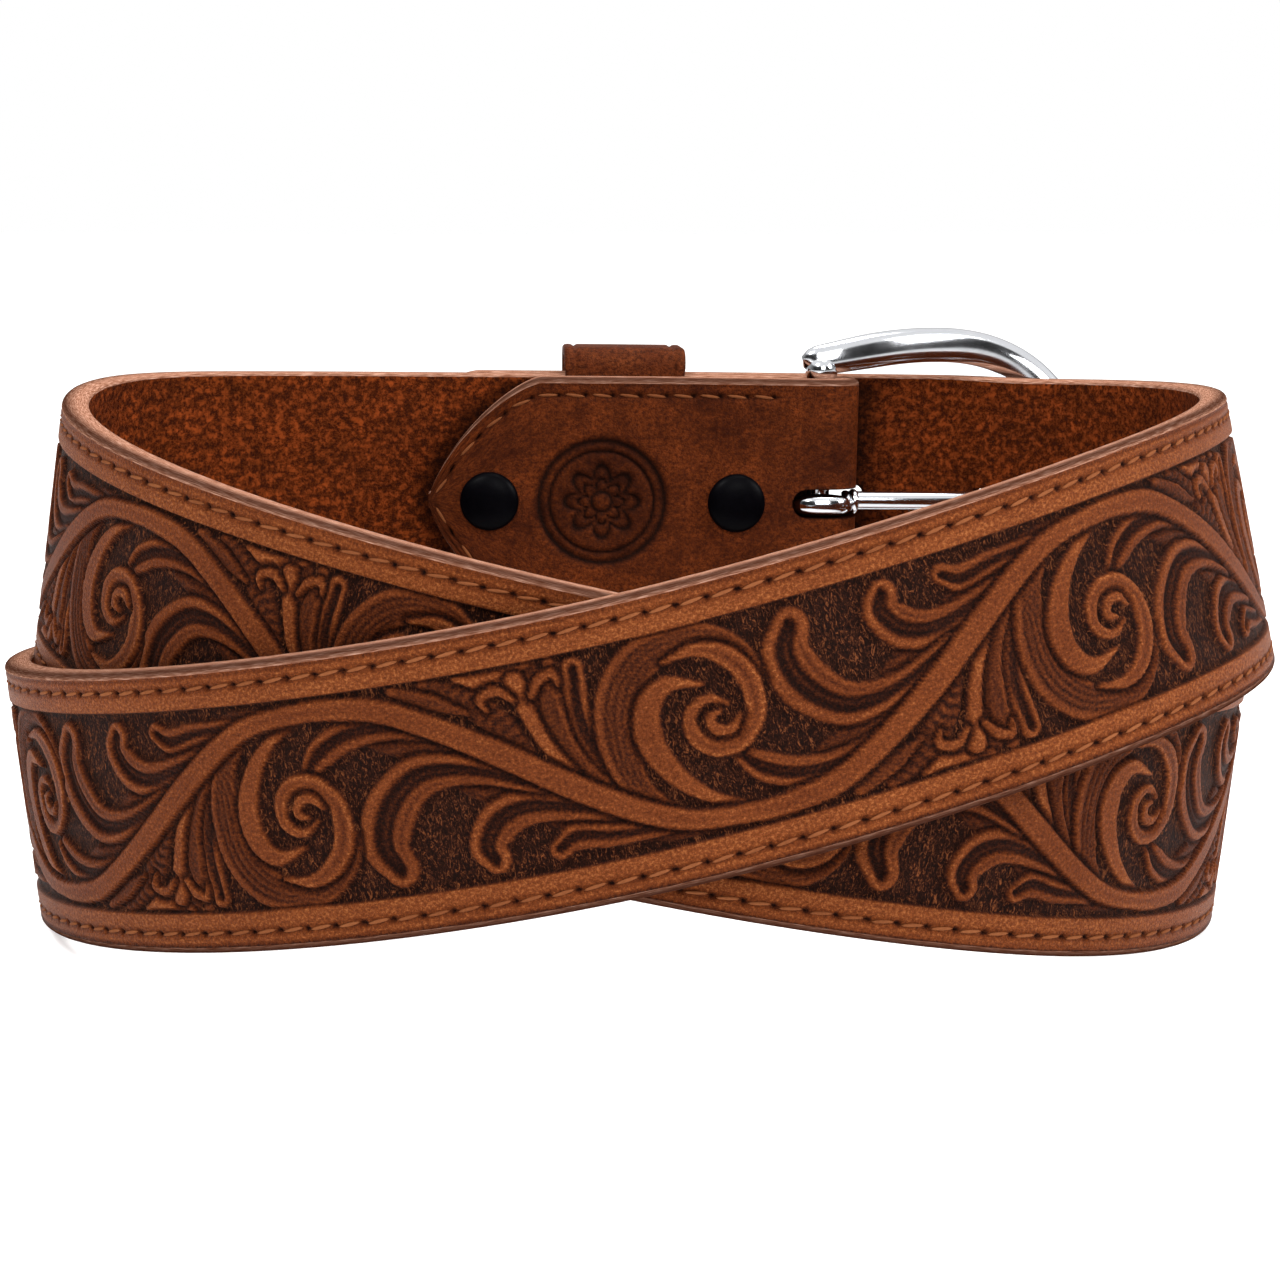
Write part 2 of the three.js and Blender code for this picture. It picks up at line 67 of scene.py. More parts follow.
# Tab, fold and billet
TAB_LENGTH = 59.5 * MM
TAB_POINT_LENGTH = 17.0 * MM
FOLD_GAP = 4.1 * MM
FOLD_RADIUS = (STRAP_THICKNESS + FOLD_GAP) / 2
SLOT_HEIGHT = 4.4 * MM
SLOT_LENGTH = 6.4 * MM
BILLET_LENGTH = 76.0 * MM
BILLET_POINT_LENGTH = 24.0 * MM
HOLE_PITCH = 25.4 * MM
HOLE_HEIGHT = 3.3 * MM
HOLE_LENGTH = 8.0 * MM
HOLES_EACH_WAY = 2
HOLE_AT_REACH = 0.715
BILLET_DIP = 5.0 * MM
DIP_RUN_IN = 20.0 * MM
DIP_RUN_OUT = 38.0 * MM

# Buckle
BAR_DIAMETER = 3.5 * MM
FRAME_REACH = 42.6 * MM
FRAME_HEIGHT = 55.7 * MM
FRAME_BAR_HEIGHT = 50.0 * MM
FRAME_SHOULDER = 18.0 * MM
FRAME_SQUARENESS = 2.5
RIM_WIDTH = 5.4 * MM
RIM_DEPTH = 3.2 * MM
RIM_LOWERED = 1.1 * MM
RIM_TILT = 9.0
BEAD_DIAMETER = 5.0 * MM
PRONG_DIAMETER = 3.0 * MM
PRONG_HUB_DIAMETER = 10.0 * MM
PRONG_HUB_HEIGHT = 3.6 * MM
PRONG_HUB_FORWARD = 2.1 * MM
HUB_DEPTH = 9.0 * MM
HUB_TILT = 8.0
SLOT_ON_TAB = 5.0 * MM

# Keeper loop and snaps
KEEPER_WIDTH = 18.3 * MM
KEEPER_THICKNESS = 1.8 * MM
KEEPER_PROUD = 4.2 * MM
KEEPER_FROM_BAR = 30.0 * MM
KEEPER_CORNER = 3.0 * MM
KEEPER_GAP = KEEPER_THICKNESS + 2 * CLEARANCE
SNAP_CAP_DIAMETER = 9.0 * MM
SNAP_CAP_RISE = 1.6 * MM
SNAP_POST_DIAMETER = 3.2 * MM
SNAP_HEAD_DIAMETER = 7.0 * MM
SNAPS_FROM_BAR = {"snap_front": 13.3 * MM, "snap_rear": 50.3 * MM}

# The winding, a row for each eighth of a turn
Row = namedtuple("Row", "turn lift lean layer")
WINDING = [
    Row(-0.5, 1.0, -1.0, 0),
    Row(-0.375, 1.0, -5.0, 0),
    Row(-0.25, 1.035, -9.5, 0),
    Row(-0.125, 0.88, -5.0, 0),
    Row(0, 0.44, -7.5, 0),
    Row(0.125, 0.13, -6.5, 0),
    Row(0.25, 0, -7.5, 1.2),
    Row(0.375, 0, 0, -1.3),
    Row(0.5, 0, 0, -2.5),
    Row(0.625, 0, 0, -1.3),
    Row(0.75, 0, 6.0, 1.0),
    Row(0.875, 0.12, 8.5, 1),
    Row(1, 0.44, 7.5, 1),
    Row(1.125, 1.07, 24.0, 1),
    Row(1.25, 1.0, 5.5, 1),
    Row(1.375, 0.95, 9.0, 1),
]
BAR_TURN = -0.5525
TURN_STEP = WINDING[1].turn - WINDING[0].turn
PERIOD = len(WINDING) * TURN_STEP
SMALL = 1e-4

# Tooling: the field between the borders, and one repeat of the scroll, two mirrored halves
FIELD_HALF = 13.7 * MM
REPEAT = 112.0 * MM
CELL = 0.14 * MM
GROUND_DEPTH = 0.75 * MM
DITCH_DEPTH = 1.0 * MM
DITCH_WIDTH = 1.15 * MM

# Stitching
STITCH_PITCH = 4.0 * MM
STITCH_LENGTH = 3.1 * MM
STITCH_WIDTH = 0.5 * MM
STITCH_IN = 2.75 * MM


def unit(vector):
    return vector / np.linalg.norm(vector, axis=-1, keepdims=True)


def winding(column, turn):
    """Value of one winding column at each turn, as a smooth curve under the table's values."""
    place = (np.asarray(turn, float) - WINDING[0].turn) / TURN_STEP
    row = np.floor(place).astype(int)
    f = place - row
    values = np.array([getattr(entry, column) for entry in WINDING], float)

    def control(step):
        wraps, at = np.divmod(row + step, len(WINDING))
        return values[at] + (wraps if column == "layer" else 0)

    weights = ((1 - f) ** 3, 3 * f ** 3 - 6 * f ** 2 + 4, -3 * f ** 3 + 3 * f ** 2 + 3 * f + 1, f ** 3)
    return sum(weight / 6 * control(k - 1) for k, weight in enumerate(weights))


def oval(turn):
    angle = 2 * np.pi * turn
    x = OVAL_HALF_WIDTH * (np.sin(angle) + CORNER_WIDE * np.sin(3 * angle)) / (1 - CORNER_WIDE)
    y = -OVAL_HALF_DEPTH * (np.cos(angle) - CORNER_DEEP * np.cos(3 * angle)) / (1 - CORNER_DEEP)
    x = x + OVAL_SKEW * OVAL_HALF_WIDTH * np.sin(2 * angle)
    y = y * (1 + OVAL_EGG * np.sin(angle)) + OVAL_BACK_BULGE * (1 - np.cos(2 * angle)) / 2
    return np.stack([x, y], -1)


def centre_at(turn, outward=0.0):
    """Middle of the strap at each turn, moved outward from its own layer."""
    turn = np.asarray(turn, float)
    along = unit(oval(turn + SMALL) - oval(turn - SMALL))
    offset = winding("layer", turn) * LAYER_PITCH + outward
    here = oval(turn)
    z = HALF_WIDTH * np.cos(np.radians(winding("lean", turn))) + RISE * winding("lift", turn)
    x = here[..., 0] + along[..., 1] * offset
    y = here[..., 1] - along[..., 0] * offset
    return np.stack([x, y, z], -1) + ORIGIN


Surface = namedtuple("Surface", "p run across out")


def frame_at(turn, outward=None):
    """Place, run, width and outward directions of the strap at each turn."""
    turn = np.asarray(turn, float)
    moved = outward or (lambda at: 0.0)
    ahead = centre_at(turn + SMALL, moved(turn + SMALL))
    behind = centre_at(turn - SMALL, moved(turn - SMALL))
    run = unit(ahead - behind)
    lean = np.radians(winding("lean", turn))
    upright = np.stack([-np.sin(lean), np.zeros_like(lean), np.cos(lean)], -1)
    across = unit(upright - (upright * run).sum(-1, keepdims=True) * run)
    return Surface(centre_at(turn, moved(turn)), run, across, np.cross(run, across))


TURNS = np.arange(BAR_TURN - 0.15, BAR_TURN + PERIOD + 0.25, SMALL * 5)
STEPS = np.linalg.norm(np.diff(centre_at(TURNS), axis=0), axis=1)
LENGTHS = np.concatenate([[0], np.cumsum(STEPS)])
LENGTHS = LENGTHS - np.interp(BAR_TURN, TURNS, LENGTHS)


def turn_at(distance):
    """Turn reached at a distance along the strap from the buckle bar."""
    return np.interp(distance, LENGTHS, TURNS)


def distance_at(turn):
    return float(np.interp(turn, TURNS, LENGTHS))


BILLET_AT_BAR = distance_at(BAR_TURN + PERIOD)
TIP_AT = BILLET_AT_BAR + BILLET_LENGTH
DIP_TURN = turn_at(BILLET_AT_BAR - (FRAME_REACH - RIM_WIDTH / 2))
DIP_START_TURN = turn_at(distance_at(DIP_TURN) - DIP_RUN_OUT)
DIP_END_TURN = turn_at(distance_at(DIP_TURN) + DIP_RUN_IN)


def billet_dip(turn):
    """The billet swings in under the far end of the buckle frame."""
    turn = np.asarray(turn, float)
    run = np.where(turn < DIP_TURN, DIP_TURN - DIP_START_TURN, DIP_END_TURN - DIP_TURN)
    share = np.minimum(1, np.abs(turn - DIP_TURN) / run)
    return -BILLET_DIP * np.cos(share * np.pi / 2) ** 2


def smoothstep(value, low, high):
    share = np.clip((value - low) / (high - low), 0, 1)
    return share * share * (3 - 2 * share)


def tab_gap(distance):
    share = smoothstep(distance, 0, KEEPER_FROM_BAR - KEEPER_WIDTH / 2)
    return FOLD_GAP + (KEEPER_GAP - FOLD_GAP) * share


def strap_surface(distance):
    """The strap from the bar to the billet's tip."""
    return frame_at(turn_at(distance), billet_dip)


def tab_surface(distance):
    """The tab, at a distance from the bar back towards the tab's own end."""
    back = frame_at(turn_at(distance))
    inward = (STRAP_THICKNESS + tab_gap(distance))[..., None]
    return Surface(back.p - back.out * inward, -back.run, back.across, -back.out)


def point_half_width(distance, point_length):
    share = np.clip(1 - distance / point_length, 0, 1)
    roundness = 1.4
    return HALF_WIDTH * np.maximum(0.06, (1 - share ** roundness) ** (1 / roundness))


# Scroll tooling: each stroke of one half repeat, in millimetres along and across the field.
# The other half is the same strokes turned over and moved on by half the repeat.
Stroke = namedtuple("Stroke", "kind half_width line")
SCROLL = [
    # striped webs between the stem and its leaves
    Stroke("web", (0.5, 2.2, 3.4, 3.4, 3.0, 2.0, 0.6),
           [(24, -6.5), (31, -4.6), (38, -0.6), (45, 3.6), (53, 8.0), (61, 10.8), (69, 12)]),
    Stroke("web", (0.5, 2.6, 3.2, 2.6, 1.0), [(60, 7), (54, 1.6), (50, -4), (48, -9), (47, -12.8)]),
    # fan under the stem
    Stroke("rope", (0.4, 1.9, 2.0, 1.0), [(45.5, -1.6), (42, -6), (38.4, -9.8), (33, -12.6)]),
    Stroke("veined", (0.3, 1.2, 0.7), [(38, -8.4), (33.5, -10.4), (28.5, -12.6)]),
    Stroke("stem", (0.3, 0.9, 0.9, 0.3), [(37, -13), (40, -12.2), (44, -12.3), (47, -13.1)]),
    Stroke("hollow", (0.4, 1.5, 1.9, 1.6), [(58, 5.5), (54, 1.5), (52, -5), (52.6, -11.4)]),
    Stroke("veined", (0.4, 1.2, 1.5, 0.9), [(55, 5.5), (50.6, 0), (49, -6), (49.8, -12.6)]),
    Stroke("stem", (0.3, 0.9, 1.1, 1.4), [(51, 2.6), (47.6, -2), (45.8, -6.8), (44.9, -11.2)]),
    Stroke("curl", (0.4, 0.7, 0.6, 0.3), [(44.2, -9), (42.2, -10.6), (40, -9.8), (40.6, -8.2)]),
    Stroke("curl", (0.4, 0.7, 0.6, 0.3), [(46.6, -9), (48, -10.8), (50, -11.4), (50.4, -9.8)]),
    # leaves over the ground on the stem's other side
    Stroke("hollow", (0.4, 0.9, 1.5, 1.8, 1.4), [(70, 11.2), (60, 10.9), (53, 10.4), (48.6, 9.6), (46.0, 10.8)]),
    Stroke("hollow", (0.4, 1.3, 2.3, 2.8, 2.7, 2.0),
           [(58, 9.2), (50, 6.4), (43.6, 4.8), (39.4, 5.8), (37.2, 8.6), (37.8, 10.6)]),
    Stroke("hollow", (0.5, 1.7, 2.9, 3.6, 3.5, 2.5),
           [(46, 3.0), (37, -1.0), (30, -1.4), (25.4, 2.2), (23.8, 6.6), (25.2, 10.0)]),
    Stroke("hollow", (0.3, 1.2, 2.0, 2.1, 1.2), [(36, -4.8), (28, -7.8), (21.8, -8.0), (17.4, -6.2), (14.9, -3.8)]),
    # frame leaf round the volute, its spiral and the arm
    Stroke("veined", (0.4, 1.6, 2.6, 2.9, 2.7, 2.2, 1.7, 1.0, 0.3),
           [(7, -10.2), (1.9, -6), (0.3, 0), (1.2, 6), (4.6, 10.2), (9.6, 11.9), (14.6, 11.4), (18.6, 8.6),
            (20.2, 4.6)]),
    Stroke("curl", (0.3, 0.9, 1.4, 1.5, 1.4, 1.3, 1.2, 1.1, 0.9, 0.7, 0.4),
           [(8, 9.6), (12.4, 10.2), (16.0, 8.6), (18.2, 5.2), (18.2, 1), (15.8, -2), (12.4, -2.6), (9.9, -0.6),
            (9.9, 2.4), (12.4, 3.9), (14.9, 2.6)]),
    Stroke("curl", (0.3, 0.7, 0.8, 0.7, 0.4), [(16.2, 1.0), (14.6, -0.5), (12.7, -0.2), (12.3, 1.4), (13.7, 2.0)]),
    Stroke("stem", (0.2, 0.7, 1.2, 1.7, 1.9, 1.7, 1.2, 0.3),
           [(18, -11.2), (12, -9.4), (7.8, -6.4), (5.1, -2.4), (4.2, 1.4), (5.2, 4.9), (8.0, 6.8), (12.4, 5.8)]),
    # main stem, one wave from repeat to repeat
    Stroke("wave", (1.3, 1.4, 1.5, 1.6, 1.6, 1.7, 1.7, 1.6, 1.5, 1.4, 1.3, 1.3),
           [(11, -11.25), (15, -11.6), (19, -11.6), (26, -10.6), (33, -7.4), (41, -2.6), (48, 2.3), (54, 6.3),
            (59, 9.1), (63, 10.6), (67, 11.25), (71, 11.6)]),
]
# Where the scroll's repeats lie along the strap: distance from the bar, and place in the scroll
SCROLL_PLACES = [(0, -241.7), (178.5, -42), (329, 126), (679.4, 518), (734.4, 574), (788.4, 630), (1040, 910)]


def smooth_line(points, count):
    """Catmull-Rom curve through given rows, evenly spaced in the rows' own number."""
    rows = np.array(points, float)
    rows = np.vstack([2 * rows[0] - rows[1], rows, 2 * rows[-1] - rows[-2]])
    at = np.linspace(0, len(rows) - 3 - 1e-9, count)
    k = at.astype(int)
    f = (at - k)[:, None]
    a, b, c, d = rows[k], rows[k + 1], rows[k + 2], rows[k + 3]
    return 0.5 * (2 * b + (c - a) * f + (2 * a - 5 * b + 4 * c - d) * f ** 2 + (3 * b - a - 3 * c + d) * f ** 3)


def groove(q, at, width):
    return np.exp(-((q - at) / width) ** 2)


def stroke_profile(kind, q, along, share):
    """Height in millimetres and tone of a stroke, from its own width, length and share."""
    ends = np.clip(np.minimum(share, 1 - share) * 8, 0, 1)
    dome = 1 - q * q
    if kind in ("stem", "wave"):
        return 0.02 + 0.24 * dome, 0.84 - 0.24 * np.abs(q) ** 3
    if kind == "curl":
        mid = groove(q, 0, 0.2) * ends
        return 0.02 + 0.22 * dome - 0.12 * mid, 0.82 - 0.25 * mid
    if kind == "web":
        lines = np.cos(2 * np.pi * q * 3) * 0.5 + 0.5
        return -0.42 + 0.2 * dome + 0.12 * lines, 0.3 + 0.22 * lines
    if kind == "rope":
        wave = np.cos(2 * np.pi * (along / 1.45 + 0.55 * np.abs(q)))
        return -0.22 + 0.17 * wave + 0.1 * dome, 0.42 + 0.2 * wave
    if kind == "veined":
        lines = sum(groove(q, at, 0.09) for at in (-0.62, -0.3, 0.06, 0.42)) * ends
        return -0.06 + 0.14 * dome - 0.32 * lines, 0.68 - 0.42 * lines
    off = np.abs(q - 0.08)
    rim = smoothstep(off, 0.22, 0.5)
    rib = groove(q, 0.02, 0.09) * ends
    fine = groove(q, -0.62, 0.07) * ends * rim
    edge = 1 - 0.3 * smoothstep(np.abs(q), 0.75, 1)
    height = -0.6 + 0.72 * rim * edge + 0.26 * rib - 0.16 * fine
    return height, 0.12 + 0.66 * rim * edge + 0.3 * rib - 0.3 * fine


def box_blur(field, reach):
    for axis, mode in ((1, "wrap"), (0, "edge")):
        padded = np.pad(field, [(reach, reach) if axis == k else (0, 0) for k in (0, 1)], mode=mode)
        total = np.cumsum(np.insert(padded, 0, 0, axis=axis), axis=axis)
        size = field.shape[axis]
        high = np.take(total, np.arange(2 * reach + 1, 2 * reach + 1 + size), axis=axis)
        field = (high - np.take(total, np.arange(size), axis=axis)) / (2 * reach + 1)
    return field


def carve_scroll():
    """Height, tone and ground maps of one repeat, with the last stroke on top."""
    cell = CELL / MM
    field = FIELD_HALF / MM
    columns = round(REPEAT / CELL)
    half_rows = math.ceil(FIELD_HALF / CELL)
    v = np.arange(-half_rows, half_rows + 1) * cell
    height = np.full((len(v), columns), -GROUND_DEPTH / MM)
    tone = np.full(height.shape, 0.08)
    ground = np.ones(height.shape)
    margin = (DITCH_WIDTH / MM) + 0.2
    for stroke in SCROLL:
        count = int(2 * sum(math.dist(a, b) for a, b in zip(stroke.line, stroke.line[1:]))) + 8
        line = smooth_line(stroke.line, count)
        width = np.interp(np.linspace(0, 1, count), np.linspace(0, 1, len(stroke.half_width)), stroke.half_width)
        for half in (0, 1):
            cu = line[:, 0] + half * REPEAT / MM / 2
            cv = line[:, 1] * (1 - 2 * half)
            reach = width.max() + margin
            i = np.arange(math.floor((cu.min() - reach) / cell), math.ceil((cu.max() + reach) / cell) + 1)
            j = np.flatnonzero((v > cv.min() - reach) & (v < cv.max() + reach))
            du = (i * cell)[None, :, None] - cu
            dv = v[j][:, None, None] - cv
            near = np.argmin(du ** 2 + dv ** 2, axis=2)
            du = np.take_along_axis(np.broadcast_to(du, (len(j), len(i), count)), near[..., None], 2)[..., 0]
            dv = np.take_along_axis(np.broadcast_to(dv, (len(j), len(i), count)), near[..., None], 2)[..., 0]
            tu, tv = np.gradient(cu), np.gradient(cv)
            length = np.hypot(tu, tv)
            along = np.concatenate([[0], np.cumsum(length[1:])])
            tu, tv = tu / length, tv / length
            side = (tu[near] * dv - tv[near] * du) * (1 - 2 * half)
            ends = (near == 0) | (near == count - 1)
            distance = np.where(ends, np.hypot(du, dv), np.abs(side))
            w = width[near]
            q = np.clip(np.sign(side) * distance / w, -1, 1)
            h, t = stroke_profile(stroke.kind, q, along[near], near / (count - 1))
            beyond = np.clip((distance - w) / (DITCH_WIDTH / MM), 0, 1)
            place = np.ix_(j, i % columns)
            old_h, old_t = height[place], tone[place]
            inside = distance < w
            if stroke.kind == "wave":
                inside = inside & ~ends
                beyond = np.where(ends, 1, beyond)
            height[place] = np.where(inside, h, np.minimum(old_h, -(DITCH_DEPTH / MM) * (1 - beyond) ** 1.2))
            tone[place] = np.where(inside, t, np.minimum(old_t, 0.1 + 0.9 * beyond))
            ground[place] = np.where(inside, 0, ground[place])
    rim = np.abs(v)[:, None]
    beyond = np.clip((field - rim) / 0.9, 0, 1)
    height = np.minimum(height, -0.85 * (1 - beyond))
    tone = np.minimum(tone, 0.12 + 0.88 * beyond)
    height = box_blur(height, 1)
    crevice = np.clip(1 + 1.3 * (height - box_blur(height, 7)), 0.3, 1.25)
    return height, np.clip(box_blur(tone, 1) * crevice, 0, 1.1), ground


SCROLL_HEIGHT, SCROLL_TONE, SCROLL_GROUND = carve_scroll()


def scroll_value(field, distance, across):
    """Value of a scroll map at places on the strap, by distance from the bar and place across."""
    knots = np.array(SCROLL_PLACES) * MM
    u = np.interp(distance, knots[:, 0], knots[:, 1]) / CELL
    v = np.clip(across / CELL + (field.shape[0] - 1) / 2, 0, field.shape[0] - 1.001)
    iu, iv = np.floor(u).astype(int), np.floor(v).astype(int)
    fu, fv = u - iu, v - iv
    size = field.shape[1]
    low = field[iv, iu % size] * (1 - fu) + field[iv, (iu + 1) % size] * fu
    high = field[iv + 1, iu % size] * (1 - fu) + field[iv + 1, (iu + 1) % size] * fu
    return low * (1 - fv) + high * fv


Face = namedtuple("Face", "height tone ground")
# Tone across the cut edge: lighter near the flesh side, darkest on the bevel at the grain side. The lower edge takes
# only a share of it: painted shade on the edge that faces down.
EDGE_TONE = np.array([1.0, 0.7, 0.45, 0.24, 0.14, 0.18, 0.4, 0.8])
LOWER_EDGE_SHADE_SHARE = 0.4


def border_detail(distance, rim):
    """Stitch channel, needle holes and crease along a border, by distance in from the edge."""
    mm = rim / MM
    stitch = STITCH_IN / MM
    phase = (distance / STITCH_PITCH) % 1
    phase = np.minimum(phase, 1 - phase) * STITCH_PITCH / MM
    hole = np.exp(-(phase / 0.36) ** 2 - ((mm - stitch) / 0.34) ** 2)
    channel = groove(mm, stitch, 0.55)
    crease = groove(mm, 1.35, 0.16)
    return -0.2 * channel - 0.6 * hole - 0.16 * crease, np.clip(1 - 0.9 * hole - 0.3 * channel - 0.35 * crease, 0, 1)


def tooled_face(distance, across, share):
    """The tooled grain side: a plain border and the scroll inside it."""
    rim = HALF_WIDTH - np.abs(across)
    height, tone = border_detail(distance, rim * share)
    field = (np.abs(across) < FIELD_HALF).astype(float)
    height = np.where(field > 0, scroll_value(SCROLL_HEIGHT, distance, across), height)
    tone = np.where(field > 0, scroll_value(SCROLL_TONE, distance, across), tone)
    ground = field * scroll_value(SCROLL_GROUND, distance, across)
    return Face(height, tone, ground)


# The tab's stamped place, where the keeper is hidden behind it
STAMP_FROM_BAR = 33.5 * MM
STAMP_RADIUS = 9.4 * MM
STAMP_PETALS = 8


def tab_face(distance, across, share):
    """The tab's grain side: a stitched rim and a plain ring with a rosette. Distance is from the bar."""
    end = np.maximum(TAB_LENGTH - distance, 0)
    rim = (HALF_WIDTH - np.abs(across)) * share
    height, tone = border_detail(distance, rim)
    fade = smoothstep(distance, 6 * MM, 8 * MM)
    height, tone = height * fade, 1 - (1 - tone) * fade
    x, y = (distance - STAMP_FROM_BAR) / MM, across / MM
    r, angle = np.hypot(x, y), np.arctan2(y, x)
    ring = STAMP_RADIUS / MM
    petal = 5.6 * (0.62 + 0.38 * np.abs(np.cos(STAMP_PETALS / 2 * angle)))
    dip = groove(r, ring, 0.55) + groove(r, ring - 1.6, 0.3) + groove(r, petal, 0.5) + groove(r, 1.5, 0.36)
    dip = dip + groove(r, 0.62 * petal, 0.3) * smoothstep(r, 1.5, 2.2)
    dip = np.clip(dip, 0, 1)
    press = smoothstep(ring - r, 0, 0.5)
    rosette = smoothstep(petal - r, 0, 0.4) * smoothstep(r, 1.5, 1.9)
    height = height - 0.5 * dip - 0.2 * press - 0.25 * rosette
    worn_end = 0.8 + 0.2 * smoothstep(end, 0, 6 * MM)
    tone = tone * (1 - dip) * (1 - 0.3 * press) * (1 - 0.25 * rosette) * worn_end
    return Face(height, tone, np.zeros_like(height))


def corner(centre, radius, start, steps):
    """Points on a quarter turn of an ellipse, ends included: [across, out] pairs."""
    angles = np.radians(start + 90 * np.linspace(0, 1, steps))
    return [(centre[0] + radius[0] * math.cos(a), centre[1] + radius[1] * math.sin(a)) for a in angles]


def strap_section(step):
    """The strap's section in order round it, with the columns that belong to the grain face."""
    h, w = HALF_THICKNESS, HALF_WIDTH
    flesh = FLESH_BEVEL
    low = [(x, -h) for x in np.linspace(-(w - flesh), w - flesh, 15 if step < 0.45 * MM else 41)[1:-1]]
    right = corner((w - flesh, -h + flesh), (flesh, flesh), -90, 4)
    upper = corner((w - GRAIN_BEVEL, h - GRAIN_BEVEL), (GRAIN_BEVEL, GRAIN_BEVEL), 0, 6)
    grain = [(x, h) for x in np.linspace(w - GRAIN_BEVEL, -(w - GRAIN_BEVEL), round(2 * w / step))[1:-1]]
    upper = [(w, -0.1 * h), (w, 0.2 * h), *upper]
    left_upper = [(-x, y) for x, y in reversed(upper)]
    left = [(-x, y) for x, y in reversed(right)]
    order = [*right, *upper, *grain, *left_upper, *left, *low]
    first = len(right) + len(upper)
    return np.array(order), first, first + len(grain)


def mesh_piece(name, points, faces, materials, face_slots=None, smooth=True):
    mesh = bpy.data.meshes.new(name)
    mesh.from_pydata(points.tolist(), [], faces)
    for material in materials:
        mesh.materials.append(material)
    if face_slots is not None:
        mesh.polygons.foreach_set("material_index", np.asarray(face_slots, np.int32))
    if smooth:
        mesh.polygons.foreach_set("use_smooth", np.ones(len(mesh.polygons), bool))
    piece = bpy.data.objects.new(name, mesh)
    bpy.context.scene.collection.objects.link(piece)
    return piece


def tube_faces(rows, columns):
    """Quads round a closed tube of rings, then a fan over each end about its own middle point."""
    r, k = np.meshgrid(np.arange(rows - 1), np.arange(columns), indexing="ij")
    a = r * columns + k
    b = r * columns + (k + 1) % columns
    quads = np.stack([a, b, b + columns, a + columns], -1).reshape(-1, 4).tolist()
    first, last = rows * columns, rows * columns + 1
    top = (rows - 1) * columns
    caps = []
    for k in range(columns):
        after = (k + 1) % columns
        caps.append([first, after, k])
        caps.append([last, top + k, top + after])
    return quads, caps


def sharpen_ends(piece, rows, columns):
    """Keeps the end faces' shading off the long faces."""
    mesh = piece.data
    edges = np.empty(len(mesh.edges) * 2, np.int32)
    mesh.edges.foreach_get("vertices", edges)
    edges = edges.reshape(-1, 2)
    low = (edges < columns).all(1)
    high = ((edges >= (rows - 1) * columns) & (edges < rows * columns)).all(1)
    flags = mesh.attributes.new("sharp_edge", "BOOLEAN", "EDGE")
    flags.data.foreach_set("value", low | high)


def painted_flesh_shadow(distance, across):
    """Painted shadow on the flesh side round the tab's outline and beside the fold: 1 where none is painted."""
    high = np.minimum(np.abs(across) / HALF_WIDTH, 1)
    outline = TAB_LENGTH - TAB_POINT_LENGTH * (1 - (1 - high ** 1.4) ** (1 / 1.4))
    past_tab = np.where(distance > 0, distance - outline, 1.0)
    past_fold = BILLET_AT_BAR - FOLD_RADIUS - distance
    past_fold = np.where(distance > 0.5 * BILLET_AT_BAR, past_fold, 1.0)
    shadow_by_tab = 1 - 0.7 * (1 - smoothstep(past_tab, 1 * MM, 4.5 * MM))
    shadow_by_fold = 1 - 0.9 * (1 - smoothstep(past_fold, 2.5 * MM, 9 * MM))
    return shadow_by_tab * shadow_by_fold


